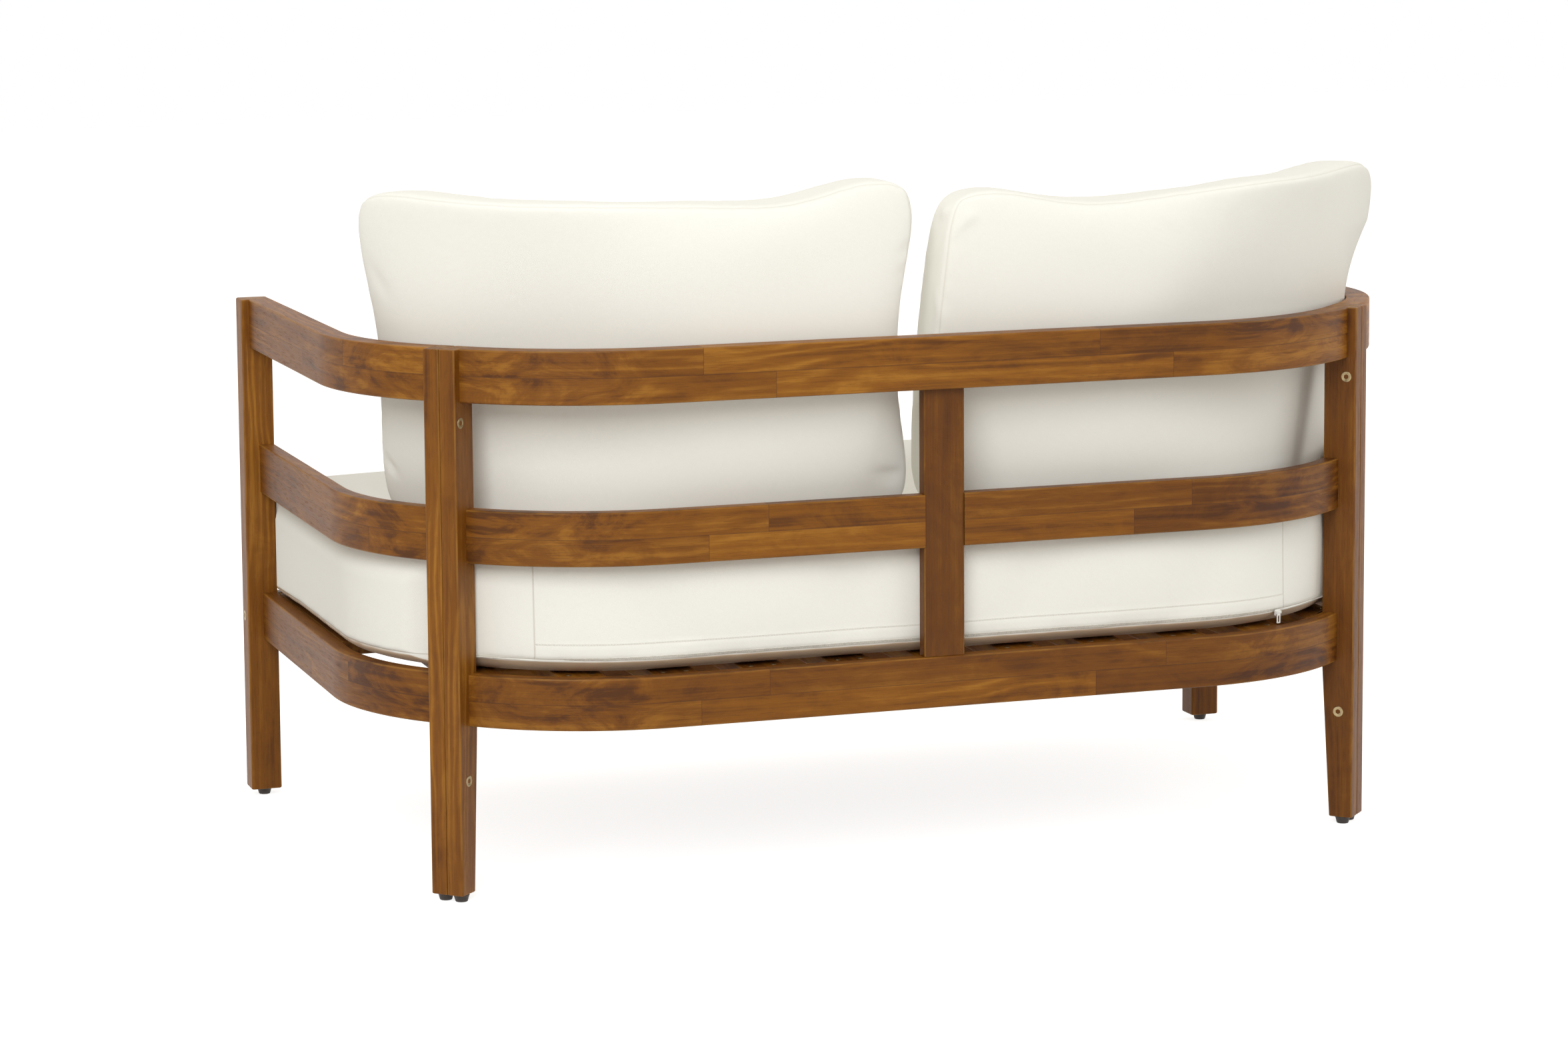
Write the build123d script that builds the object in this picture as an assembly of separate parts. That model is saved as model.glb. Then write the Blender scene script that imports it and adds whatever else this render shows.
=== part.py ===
from build123d import *
import os
from math import cos, degrees, radians, sin

# Patio loveseat. X runs across with +X on the sitter's left, the front faces -Y, Z is up.
# The origin is on the ground, under the middle of the whole piece.

# Overall sizes of the wooden frame
overall_width = 1375.0
overall_depth = 756.0
frame_height = 650.0
glide_height = 9.0

# Rear corners: a 45 degree bend in each rail on both sides of a pair of posts
bend_angle = 45.0
arm_bend_radius = 255.0
back_bend_radius = 292.0

# Posts
front_post_width = 39.5
front_post_depth = 34.0
corner_post_thickness = 21.0
corner_post_depth = 41.0
corner_foot_depth = 30.0
post_ease = 2.0

# Rails, given by their lower edge, height and thickness
top_rail_height = 62.5
top_rail_thickness = 29.5
low_rail_thickness = 19.5
middle_rail_bottom = 399.0
middle_rail_height = 63.0
bottom_rail_bottom = 207.0
bottom_rail_height = 61.0
rail_ease = 1.8
centre_slat_width = 51.0
centre_slat_thickness = 17.5
centre_slat_set_back = 2.0
front_rail_thickness = 22.0
front_rail_set_back = 6.0
front_rail_joint_inset = 8.0

# Mortise and tenon joints
tenon_thickness = 10.0
tenon_length = 14.0
tenon_shoulder = 10.0
tenon_fit = 0.1
stub_length = 12.0
stub_height = 12.0
stub_shoulder = 8.0

# Seat slats, the cleats at their ends and the battens across them
slat_count = 11
slat_side_gap = 81.0
slat_width = 54.0
slat_thickness = 18.0
slat_below_rail = 2.0
slat_end_gap = 6.0
slat_ease = 1.5
cleat_thickness = 22.0
cleat_height = 26.0
cleat_end_gap = 12.0
batten_width = 24.0
batten_height = 30.0
batten_spread = 326.0
batten_centre_y = -10.0
rear_cleat_angle = 58.0
batten_overhang = 16.0

# Bolts through the corner posts, with a captured hexagonal nut in the arm's post
bolt_head_diameter = 13.5
bolt_head_height = 6.0
bolt_diameter = 6.0
bolt_socket_width = 5.0
bolt_socket_sides = 6
bolt_socket_depth = 3.5
bolt_fit = 0.2
upper_bolt_drop = 23.5
upper_bolt_inset = 12.5
lower_bolt_height = 143.0
lower_bolt_inset = 19.0
bolt_nut_width = 10.0
bolt_nut_length = 12.0
bolt_nut_sides = 6
bolt_nut_skin = 3.0

# One bolt and square nut at each end of the front rail, the nut in a pocket from the rail's inner side
rail_bolt_length = 72.0
rail_nut_width = 13.0
rail_nut_thickness = 6.0
rail_nut_distance = 22.0

# Glides under the posts
glide_top_diameter = 19.0
glide_foot_diameter = 15.0
glide_sides = 16

# Seat cushion
cushion_side_gap = 5.0
cushion_front_gap = 4.0
cushion_corner_radius = 42.0
cushion_lower_seam = 284.0
cushion_draw_in = 7.0
cushion_edge_roll = 12.0
cushion_edge_rise = 15.0
cushion_box_top = 406.0
cushion_shoulder_inset = 44.0
cushion_shoulder_rise = 22.0
cushion_crown_inset = 220.0
cushion_crown_rise = 28.0
core_box_drop = 6.0
arc_steps = 5
front_steps = 6
seat_rest_gap = 0.3
cover_thickness = 1.5

# Zip along the cushion's rear lower edge
zip_width = 5.0
zip_thickness = 0.6
zip_slider_width = 9.0
zip_slider_height = 7.0
cheek_half_height = 1.6
zip_slider_thickness = 1.5
zip_slider_angle = 24.0
zip_clearance = 0.3
pull_pin_height = 283.0
pull_length = 13.4
pull_width = 6.0
pull_thickness = 0.9
pull_loop_width = 3.0
pull_loop_length = 8.0
pull_pin_diameter = 1.0
pull_pin_fit = 0.05

# Back pillows, wrapped round the bend between the back and the arm
pillow_inner_gap = 5.0
pillow_path_radius = 294.0
pillow_path_inset = 5.5
pillow_turn_angle = 60.0
pillow_top = 820.0
pillow_ear_rise = 12.0
pillow_bottom = 424.0
pillow_gusset = 86.0
pillow_back_swell = 10.0
pillow_front_swell = 30.0
pillow_lean = 30.0
pillow_side_draw_in = 9.0
pillow_seat_gap = 0.3
pillow_tail = 60.0
pillow_steps = 5
pillow_shares = (
    (0, 0.15),
    (0.035, 0.72),
    (0.1, 1),
    (0.47, 1),
    (0.54, 1),
    (0.61, 1),
    (0.68, 1),
    (0.76, 1),
    (0.83, 1),
    (0.9, 1),
    (0.965, 0.72),
    (1, 0.15),
)

# Turns and halves
quarter_turn = 90.0
half_turn = 180.0
rising = (Align.CENTER, Align.CENTER, Align.MIN)

half_width = overall_width / 2
half_depth = overall_depth / 2
front_y = -half_depth
inner_x = half_width - front_post_width
inner_back_y = half_depth - top_rail_thickness
bend_sine = sin(radians(bend_angle))
bend_cosine = cos(radians(bend_angle))
bottom_rail_top = bottom_rail_bottom + bottom_rail_height
top_rail_bottom = frame_height - top_rail_height
slat_top = bottom_rail_top - slat_below_rail
slat_bottom = slat_top - slat_thickness
slat_reach = inner_x - slat_side_gap - slat_width / 2
slat_pitch = (slat_reach + slat_reach) / (slat_count - 1)

# Levels of the seat cushion: how far its outline is drawn in, and the height
crowned_levels = (
    (cushion_shoulder_inset, cushion_box_top + cushion_shoulder_rise),
    (cushion_crown_inset, cushion_box_top + cushion_crown_rise),
)
cushion_levels = (
    (cushion_edge_roll, slat_top + seat_rest_gap),
    (0, cushion_lower_seam - cover_thickness),
    (0, cushion_box_top),
    (cushion_edge_roll, cushion_box_top + cushion_edge_rise),
    *crowned_levels,
)
core_levels = (
    (cushion_edge_roll, slat_top + seat_rest_gap),
    (0, cushion_lower_seam - cover_thickness),
    (0, cushion_box_top - core_box_drop),
    *crowned_levels,
)

# Innermost point of the seam between the two corner posts, then the ends and centres of the two bends
corner_inner = Vector(
    inner_x - arm_bend_radius * (1 - bend_cosine) - corner_post_thickness * bend_sine,
    inner_back_y - back_bend_radius * (1 - bend_sine) - corner_post_thickness * bend_cosine,
)
outward = Vector(bend_cosine, bend_sine)
along_arm = Vector(bend_sine, -bend_cosine)
arm_bend_end = corner_inner + along_arm * corner_post_thickness
back_bend_end = corner_inner - along_arm * corner_post_thickness
arm_bend_centre = arm_bend_end - outward * arm_bend_radius
back_bend_centre = back_bend_end - outward * back_bend_radius
pillow_bend_run = pillow_path_radius * radians(pillow_turn_angle)
pillow_length = back_bend_centre.X - pillow_inner_gap + pillow_bend_run + pillow_tail
corner_outer = corner_inner + outward * corner_post_depth
corner_frame = Plane(
    origin=(corner_outer.X, corner_outer.Y, 0),
    x_dir=(bend_cosine, bend_sine, 0),
    z_dir=(0, 0, 1),
)


def box_between(low, high):
    """A box from its lowest corner to its highest."""
    size = [b - a for a, b in zip(low, high)]
    middle = [(a + b) / 2 for a, b in zip(low, high)]
    return Pos(*middle) * Box(*size)


def mirrored(shape):
    """The same piece on the other side of the loveseat."""
    return mirror(shape, about=Plane.YZ)


def polar(centre, radius, angle):
    """A point on a circle about a centre in plan."""
    turn = radians(angle)
    return Vector(centre.X + radius * cos(turn), centre.Y + radius * sin(turn))


def arc(centre, radius, first, last):
    """An arc in plan from one angle to another."""
    middle = (first + last) / 2
    return ThreePointArc(
        polar(centre, radius, first),
        polar(centre, radius, middle),
        polar(centre, radius, last),
    )


def bent_band(centre, radius, straight_end, last_angle, run, near, far):
    """Plan of a rail: a straight run, then a bend, between two offsets from its inner line."""
    inner = arc(centre, radius + near, straight_end, last_angle)
    outer = arc(centre, radius + far, straight_end, last_angle)
    start_inner = inner @ 0 - run
    start_outer = outer @ 0 - run
    edges = [
        Line(start_inner, inner @ 0),
        inner,
        Line(inner @ 1, outer @ 1),
        outer,
        Line(outer @ 0, start_outer),
        Line(start_outer, start_inner),
    ]
    return make_face(Wire(edges))


def arm_plan(near, far):
    """Plan of the left arm's rails, from the front post to the rear corner."""
    run = Vector(0, arm_bend_centre.Y - (front_y + front_post_depth))
    return bent_band(arm_bend_centre, arm_bend_radius, 0, bend_angle, run, near, far)


def half_back_plan(near, far, start_x):
    """Plan of the left half of a back rail, from a place near the middle to the rear corner."""
    run = Vector(start_x - back_bend_centre.X, 0)
    square = bend_angle + bend_angle
    return bent_band(back_bend_centre, back_bend_radius, square, bend_angle, -run, near, far)


def rounded_rail(plan, bottom, height):
    """A rail raised from its plan, with its edges eased."""
    rail = extrude(Pos(0, 0, bottom) * plan, amount=height)
    long_edges = rail.edges().filter_by(Axis.Z, reverse=True)
    return chamfer(long_edges, rail_ease)


def corner_tenon(rail_bottom, rail_height, thickness, side, fit):
    """The tenon that enters a corner post: side is 1 for a back rail and -1 for an arm rail."""
    middle = corner_post_thickness - tenon_length / 2
    centre_x = -corner_post_depth + thickness / 2
    size_y = tenon_length + fit
    height = rail_height - tenon_shoulder - tenon_shoulder + fit + fit
    block = Box(tenon_thickness + fit + fit, size_y, height)
    place = Pos(centre_x, side * (middle - fit / 2), rail_bottom + rail_height / 2)
    return corner_frame * place * block


def front_tenon(rail_bottom, rail_height, thickness, fit):
    """The tenon of an arm rail that enters the front post."""
    shoulder = front_y + front_post_depth
    half = tenon_thickness / 2 + fit
    middle_x = inner_x + thickness / 2
    return box_between(
        (middle_x - half, shoulder - tenon_length - fit, rail_bottom + tenon_shoulder - fit),
        (middle_x + half, shoulder, rail_bottom + rail_height - tenon_shoulder + fit),
    )


def slat_end_tenon(low_z, high_z):
    """A tenon at one end of the centre slat."""
    middle_y = centre_slat_middle_y()
    half_x = centre_slat_width / 2 - tenon_shoulder
    return box_between(
        (-half_x, middle_y - tenon_thickness / 2, low_z),
        (half_x, middle_y + tenon_thickness / 2, high_z),
    )


def centre_slat_middle_y():
    """The centre slat stands a little in from the outer face of the bottom rail."""
    outer = inner_back_y + low_rail_thickness - centre_slat_set_back
    return outer - centre_slat_thickness / 2


def middle_rail_tenon(fit):
    """The tenon of a middle rail that enters the centre slat."""
    middle_y = inner_back_y + low_rail_thickness / 2
    edge = centre_slat_width / 2
    half = tenon_thickness / 2 + fit
    return box_between(
        (edge - tenon_length - fit, middle_y - half, middle_rail_bottom + tenon_shoulder - fit),
        (edge, middle_y + half, middle_rail_bottom + middle_rail_height - tenon_shoulder + fit),
    )


rail_levels = {
    "top": (top_rail_bottom, top_rail_height, top_rail_thickness),
    "middle": (middle_rail_bottom, middle_rail_height, low_rail_thickness),
    "bottom": (bottom_rail_bottom, bottom_rail_height, low_rail_thickness),
}


def arm_rail(level):
    """One rail of the left arm with its two tenons."""
    bottom, height, thickness = rail_levels[level]
    rail = rounded_rail(arm_plan(0, thickness), bottom, height)
    rail += front_tenon(bottom, height, thickness, 0)
    rail += corner_tenon(bottom, height, thickness, -1, 0)
    return rail


def long_back_rail(level):
    """The top or bottom back rail, in one piece, bent at both ends."""
    bottom, height, thickness = rail_levels[level]
    half = half_back_plan(0, thickness, 0)
    rail = rounded_rail(half + mirrored(half), bottom, height)
    tenon = corner_tenon(bottom, height, thickness, 1, 0)
    return rail + tenon + mirrored(tenon)


def middle_back_rail():
    """The left half of the middle back rail, between the centre slat and the corner."""
    bottom, height, thickness = rail_levels["middle"]
    rail = rounded_rail(half_back_plan(0, thickness, centre_slat_width / 2), bottom, height)
    rail += middle_rail_tenon(0)
    rail += corner_tenon(bottom, height, thickness, 1, 0)
    return rail


def centre_slat():
    """The upright slat in the middle of the back."""
    middle_y = centre_slat_middle_y()
    half_x = centre_slat_width / 2
    half_y = centre_slat_thickness / 2
    body = box_between(
        (-half_x, middle_y - half_y, bottom_rail_top),
        (half_x, middle_y + half_y, top_rail_bottom),
    )
    body = chamfer(body.edges().filter_by(Axis.Z), rail_ease)
    body += slat_end_tenon(bottom_rail_top - tenon_length, bottom_rail_top)
    body += slat_end_tenon(top_rail_bottom, top_rail_bottom + tenon_length)
    mortise = middle_rail_tenon(tenon_fit)
    return body - mortise - mirrored(mortise)


def front_post():
    """The left front post with the mortises of the three arm rails."""
    post = box_between(
        (inner_x, front_y, glide_height),
        (half_width, front_y + front_post_depth, frame_height),
    )
    post = chamfer(post.edges().filter_by(Axis.Z), post_ease)
    for bottom, height, thickness in rail_levels.values():
        post -= front_tenon(bottom, height, thickness, tenon_fit)
    return post - rail_end_tenons(tenon_fit) - rail_bolt_place() * bolt_body(rail_bolt_length, bolt_fit)


def corner_post(side):
    """A rear corner post: side is 1 for the back's post and -1 for the arm's post."""
    outline = Polyline(
        (0, glide_height),
        (0, frame_height),
        (-corner_post_depth, frame_height),
        (-corner_post_depth, bottom_rail_bottom),
        (-corner_foot_depth, glide_height),
        close=True,
    )
    face = Plane.XZ * make_face(outline)
    post = extrude(face, amount=-side * corner_post_thickness)
    upright = [edge for edge in post.edges() if abs((edge @ 1 - edge @ 0).Z) > corner_post_depth]
    post = corner_frame * chamfer(upright, post_ease)
    for bottom, height, thickness in rail_levels.values():
        post -= corner_tenon(bottom, height, thickness, side, tenon_fit)
    for bolt_place in corner_bolt_places():
        post -= bolt_place * bolt_body(corner_bolt_length(), bolt_fit)
        if side == -1:
            post -= bolt_place * corner_nut_space()
    return post


def corner_bolt_places():
    """Places of the corner bolts: the head is flush with the back post's side, Z runs down the bolt."""
    places = []
    levels = ((top_rail_bottom - upper_bolt_drop, upper_bolt_inset), (lower_bolt_height, lower_bolt_inset))
    for height, inset in levels:
        head = Plane(
            origin=(-inset, corner_post_thickness, height),
            x_dir=(1, 0, 0),
            z_dir=(0, -1, 0),
        )
        places.append(corner_frame.location * head.location)
    return places


def corner_bolt_length():
    """The corner bolt ends inside its nut."""
    return corner_post_thickness + corner_post_thickness - bolt_nut_skin


def bolt_body(length, fit):
    """A flush round-headed bolt along Z, or the hole for it when fit is more than 0."""
    head = Cylinder(bolt_head_diameter / 2 + fit, bolt_head_height, align=rising)
    shank = Cylinder(bolt_diameter / 2 + fit, length + fit, align=rising)
    return head + shank


def socket_bolt(length):
    """A bolt with a hexagonal socket in its head."""
    flat = RegularPolygon(bolt_socket_width / 2, bolt_socket_sides, major_radius=False)
    return bolt_body(length, 0) - extrude(flat, amount=bolt_socket_depth)


def corner_nut_space():
    """The captured nut's outer form, in the arm's post near its far side."""
    start = corner_bolt_length() - bolt_nut_length
    flat = RegularPolygon(bolt_nut_width / 2, bolt_nut_sides, major_radius=False)
    return Pos(0, 0, start) * extrude(flat, amount=bolt_nut_length)


def corner_nut():
    """The captured nut round the end of the corner bolt."""
    return corner_nut_space() - bolt_body(corner_bolt_length() + bolt_fit, bolt_fit)


def rail_bolt_place():
    """Place of the bolt through the left front post into the front rail, its head flush with the post."""
    middle_z = (bottom_rail_bottom + slat_top) / 2
    head = Plane(
        origin=(half_width, front_rail_joint_y(), middle_z),
        x_dir=(0, 1, 0),
        z_dir=(-1, 0, 0),
    )
    return head.location


def rail_nut():
    """A square nut in the front rail, its axis along the bolt."""
    depth = front_post_width + rail_nut_distance
    return rail_bolt_place() * Pos(0, 0, depth) * Box(rail_nut_width, rail_nut_width, rail_nut_thickness)


def rail_end_tenons(fit):
    """Two stub tenons of the front rail in the left front post, above and below its bolt."""
    middle_y = front_rail_joint_y()
    half = tenon_thickness / 2 + fit
    reach = inner_x + stub_length + fit
    tenons = []
    for low in (bottom_rail_bottom + stub_shoulder, slat_top - stub_shoulder - stub_height):
        tenons.append(
            box_between(
                (inner_x, middle_y - half, low - fit),
                (reach, middle_y + half, low + stub_height + fit),
            )
        )
    return tenons[0] + tenons[1]


def front_rail_faces():
    """Front and rear faces of the front rail."""
    near = front_y + front_rail_set_back
    return near, near + front_rail_thickness


def front_rail_joint_y():
    """The front rail's bolts and tenons lie nearer its front face, clear of the arm rails' tenons."""
    return front_rail_faces()[0] + front_rail_joint_inset


def front_rail():
    """The front seat rail, bolted between the front posts."""
    near, far = front_rail_faces()
    rail = box_between((-inner_x, near, bottom_rail_bottom), (inner_x, far, slat_top))
    rail = chamfer(rail.edges().filter_by(Axis.X), rail_ease)
    tenons = rail_end_tenons(0)
    cut = rail_bolt_place() * bolt_body(rail_bolt_length, bolt_fit) + rail_nut()
    return rail + tenons + mirrored(tenons) - cut - mirrored(cut)


def front_glide_place():
    """Under the middle of the left front post."""
    return Pos(inner_x + front_post_width / 2, front_y + front_post_depth / 2, 0)


def corner_glide_place(side):
    """Under the middle of a rear corner post's foot."""
    return corner_frame * Pos(-corner_foot_depth / 2, side * corner_post_thickness / 2, 0)


def glide(place):
    """A tapered plastic glide with many narrow flats."""
    foot = RegularPolygon(glide_foot_diameter / 2, glide_sides)
    top = RegularPolygon(glide_top_diameter / 2, glide_sides)
    return place * loft([Plane.XY * foot, Pos(0, 0, glide_height) * top], ruled=True)


def well_edges(inset, front):
    """Left half of the outline of the space inside the rails, from the front edge to the back."""
    side_x = inner_x - inset
    arm_arc = arc(arm_bend_centre, arm_bend_radius - inset, 0, bend_angle)
    back_arc = arc(back_bend_centre, back_bend_radius - inset, bend_angle, quarter_turn)
    corner_centre = Vector(side_x - cushion_corner_radius, front + cushion_corner_radius)
    corner = arc(corner_centre, cushion_corner_radius, -quarter_turn, 0)
    return [corner, Line(corner @ 1, arm_arc @ 0), arm_arc, Line(arm_arc @ 1, back_arc @ 0), back_arc]


def well_face(inset, front):
    """Plan of the space inside the rails, drawn in by an inset, with its front edge at a given Y."""
    left = well_edges(inset, front)
    right = [mirrored(edge) for edge in left]
    front_edge = Line(right[0] @ 0, left[0] @ 0)
    back_edge = Line(left[-1] @ 1, right[-1] @ 1)
    return make_face([*left, *right, front_edge, back_edge])


def seat_slats():
    """The slats, cut at the rear to the line of the rails."""
    front = front_rail_faces()[1] + slat_end_gap
    room = extrude(Pos(0, 0, slat_bottom) * well_face(slat_end_gap, front), amount=slat_thickness)
    slats = []
    for index in range(slat_count):
        middle_x = (index - (slat_count - 1) / 2) * slat_pitch
        blank = box_between(
            (middle_x - slat_width / 2, front, slat_bottom),
            (middle_x + slat_width / 2, half_depth, slat_top),
        )
        slat = blank & room
        top_edges = slat.edges().filter_by(Axis.Y).group_by(Axis.Z)[-1]
        slats.append(chamfer(top_edges, slat_ease))
    return slats


def front_cleat():
    """The cleat behind the front rail that carries the slats' front ends."""
    near = front_rail_faces()[1]
    half_x = inner_x - cleat_end_gap
    low = slat_bottom - cleat_height
    return box_between((-half_x, near, low), (half_x, near + cleat_thickness, slat_bottom))


def rear_cleat_half_plan():
    """Plan of the left half of the bent rear cleat, inside the bottom rail."""
    run = Vector(back_bend_centre.X, 0)
    last = rear_cleat_angle
    return bent_band(back_bend_centre, back_bend_radius, quarter_turn, last, run, -cleat_thickness, 0)


def rear_cleat():
    """The laminated cleat inside the back rail that carries the slats' rear ends."""
    half = rear_cleat_half_plan()
    plan = Pos(0, 0, slat_bottom - cleat_height) * (half + mirrored(half))
    return extrude(plan, amount=cleat_height)


def batten(middle_y):
    """A batten under the slats."""
    half_x = slat_reach + batten_overhang
    half_y = batten_width / 2
    return box_between(
        (-half_x, middle_y - half_y, slat_bottom - batten_height),
        (half_x, middle_y + half_y, slat_bottom),
    )


def facet_loft(loops):
    """A closed solid of flat facets through outlines that have equal numbers of points."""
    faces = [Face(Wire.make_polygon(loop)) for loop in (loops[0], loops[-1])]
    for near, far in zip(loops, loops[1:]):
        for index, corner in enumerate(near):
            following = (index + 1) % len(near)
            faces.append(Face(Wire.make_polygon([corner, near[following], far[following]])))
            faces.append(Face(Wire.make_polygon([corner, far[following], far[index]])))
    return Solid(Shell(faces)).clean()


def cushion_loop(inset, height):
    """Points round the seat cushion at one height, with its front edge drawn in."""
    front = front_y + cushion_front_gap + inset
    points = []
    for edge in well_edges(cushion_side_gap + inset, front):
        steps = arc_steps if edge.geom_type == GeomType.CIRCLE else 1
        points += [edge @ (step / steps) for step in range(steps)]
    points.append(edge @ 1)
    loop = [Vector(point.X, point.Y, height) for point in points]
    loop += [Vector(-point.X, point.Y, height) for point in reversed(points)]
    for x, y in crowned_points(cushion_draw_in, front_steps)[1:]:
        loop.append(Vector((x + x - 1) * points[0].X, front + y, height))
    return loop


def seat_form(levels, skin):
    """A cushion form: rolled edges, a boxed side and a crowned top, drawn in by a skin."""
    loops = []
    for inset, height in levels:
        rise = skin if height < cushion_lower_seam else -skin
        loops.append(cushion_loop(inset + skin, height + rise))
    return facet_loft(loops)


def crowned_points(swell, steps):
    """Points of a shallow curve of length 1 along X that swells along Y, without its last point."""
    shares = [step / steps for step in range(steps)]
    return [(share, 4 * swell * share * (1 - share)) for share in shares]


def pillow_loop(plane, run_share, swell_share, skin):
    """Points round a pillow at a share of its length; the plane's X points backwards, its Y up."""
    from_middle = run_share + run_share - 1
    top = pillow_top + pillow_ear_rise * from_middle**2 - skin
    back_top = -pillow_back_swell - skin
    gusset = pillow_gusset - skin - skin
    height = top - pillow_bottom
    loop = []
    for share, out in crowned_points(pillow_back_swell * swell_share, pillow_steps):
        x = back_top - pillow_lean * (1 - share) + out
        loop.append(plane.from_local_coords(Vector(x, pillow_bottom + height * share)))
    loop.append(plane.from_local_coords(Vector(back_top, top)))
    for share, out in crowned_points(pillow_front_swell * swell_share, pillow_steps):
        x = back_top - gusset - pillow_lean * share - out
        loop.append(plane.from_local_coords(Vector(x, top - height * share)))
    x = back_top - gusset - pillow_lean
    loop.append(plane.from_local_coords(Vector(x, pillow_bottom)))
    return loop


def pillow_plane(distance):
    """The upright plane across the pillow at a distance along its path, which turns at the bend."""
    path_y = inner_back_y - pillow_path_inset
    straight_end = back_bend_centre.X
    round_run = max(distance + pillow_inner_gap - straight_end, 0)
    bend_run = min(round_run, pillow_bend_run)
    turn = bend_run / pillow_path_radius
    tail = round_run - bend_run
    radius = pillow_path_radius
    x = min(distance + pillow_inner_gap, straight_end) + radius * sin(turn) + tail * cos(turn)
    y = path_y - radius * (1 - cos(turn)) - tail * sin(turn)
    return Plane(origin=(x, y, 0), x_dir=(sin(turn), cos(turn), 0), z_dir=(cos(turn), -sin(turn), 0))


def end_hollow(skin):
    """A wide round body that draws in the end of the pillow between its corners."""
    half_height = (pillow_top - pillow_bottom) / 2
    radius = (half_height**2 + pillow_side_draw_in**2) / (pillow_side_draw_in + pillow_side_draw_in)
    middle_y = (pillow_top + pillow_bottom) / 2
    distance = radius - pillow_side_draw_in - skin
    depth = pillow_gusset + pillow_front_swell + pillow_lean + pillow_back_swell
    return Pos(0, middle_y, -distance) * Rot(0, quarter_turn, 0) * Cylinder(radius, depth + depth)


def pillow_form(skin):
    """The left back pillow, resting on the seat cushion, drawn in by a skin."""
    loops = []
    for run_share, swell_share in pillow_shares:
        distance = pillow_length * run_share + skin * (1 - run_share - run_share)
        loops.append(pillow_loop(pillow_plane(distance), run_share, swell_share, skin))
    form = facet_loft(loops)
    hollow = end_hollow(skin)
    form -= pillow_plane(0) * hollow
    form -= pillow_plane(pillow_length) * mirror(hollow, about=Plane.XY)
    return form - seat_form(cushion_levels, -pillow_seat_gap - skin)


def zip_tape():
    """The closed zip just above the cushion's rear lower edge."""
    run = Vector(back_bend_centre.X, 0)
    last = quarter_turn - zip_slider_angle
    near = -cushion_side_gap
    far = near + zip_thickness
    half = bent_band(back_bend_centre, back_bend_radius, quarter_turn, last, run, near, far)
    return extrude(Pos(0, 0, cushion_lower_seam) * (half + mirrored(half)), amount=zip_width)


def slider_frame():
    """Where the zip's slider stands at rest: local Y points away from the cushion, local X along the zip."""
    angle = half_turn - quarter_turn + zip_slider_angle
    centre = Vector(-back_bend_centre.X, back_bend_centre.Y)
    origin = polar(centre, back_bend_radius - cushion_side_gap, angle)
    back = Vector(cos(radians(angle)), sin(radians(angle)))
    return Plane(origin=(origin.X, origin.Y, pull_pin_height), x_dir=(back.Y, -back.X, 0), z_dir=(0, 0, 1))


def slider_inner_y():
    """Distance of the slider's near face from the cushion: it rides on the tape."""
    return zip_thickness + zip_clearance


def pull_pin_y():
    """Distance of the pull's pin from the cushion."""
    return slider_inner_y() + zip_slider_thickness + zip_clearance + eye_outer_radius()


def eye_outer_radius():
    """Outer radius of the pull's eye round its pin."""
    return pull_pin_diameter / 2 + pull_pin_fit + pull_thickness / 2


def zip_slider():
    """The zip's slider: a body, two cheeks and the pin between them."""
    half_x = zip_slider_width / 2
    half_z = zip_slider_height / 2
    inner = slider_inner_y()
    outer = inner + zip_slider_thickness
    body = box_between((-half_x, inner, -half_z), (half_x, outer, half_z))
    tip = pull_pin_y() + pull_thickness
    cheek_start = pull_width / 2 + zip_clearance
    cheek = box_between((cheek_start, outer, -cheek_half_height), (half_x, tip, cheek_half_height))
    pin = Rot(0, quarter_turn, 0) * Cylinder(pull_pin_diameter / 2, zip_slider_width)
    return slider_frame() * (body + cheek + mirrored(cheek) + Pos(0, pull_pin_y(), 0) * pin)


def zip_pull():
    """The pull: a flat tab with an eye round the pin and a long loop, hanging down."""
    half_x = pull_width / 2
    half_y = pull_thickness / 2
    eye_radius = eye_outer_radius() - half_y
    tab = box_between((-half_x, -half_y, -pull_length), (half_x, half_y, 0))
    tab = fillet(tab.edges().filter_by(Axis.Y), half_y)
    barrel = Rot(0, quarter_turn, 0) * Cylinder(eye_outer_radius(), pull_width)
    loop = box_between(
        (-pull_loop_width / 2, -pull_thickness, -pull_length + pull_loop_width / 2),
        (pull_loop_width / 2, pull_thickness, -pull_length + pull_loop_width / 2 + pull_loop_length),
    )
    eye = Rot(0, quarter_turn, 0) * Cylinder(eye_radius, pull_width + pull_width)
    return slider_frame() * Pos(0, pull_pin_y(), 0) * (tab + barrel - loop - eye)


def group(solids):
    """Like pieces in one node."""
    return Compound(children=[solid for shape in solids for solid in shape.solids()])


def both_sides(shapes):
    """Pieces of the left side and their twins on the right."""
    return [*shapes, *(mirrored(shape) for shape in shapes)]


def save(name, shape):
    """One sub-part to one file."""
    export_step(shape, f"parts/{name}.step")


def save_pair(name, shape):
    """A piece of the left side and its twin on the right."""
    save(f"{name}_left", shape)
    save(f"{name}_right", mirrored(shape))


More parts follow.
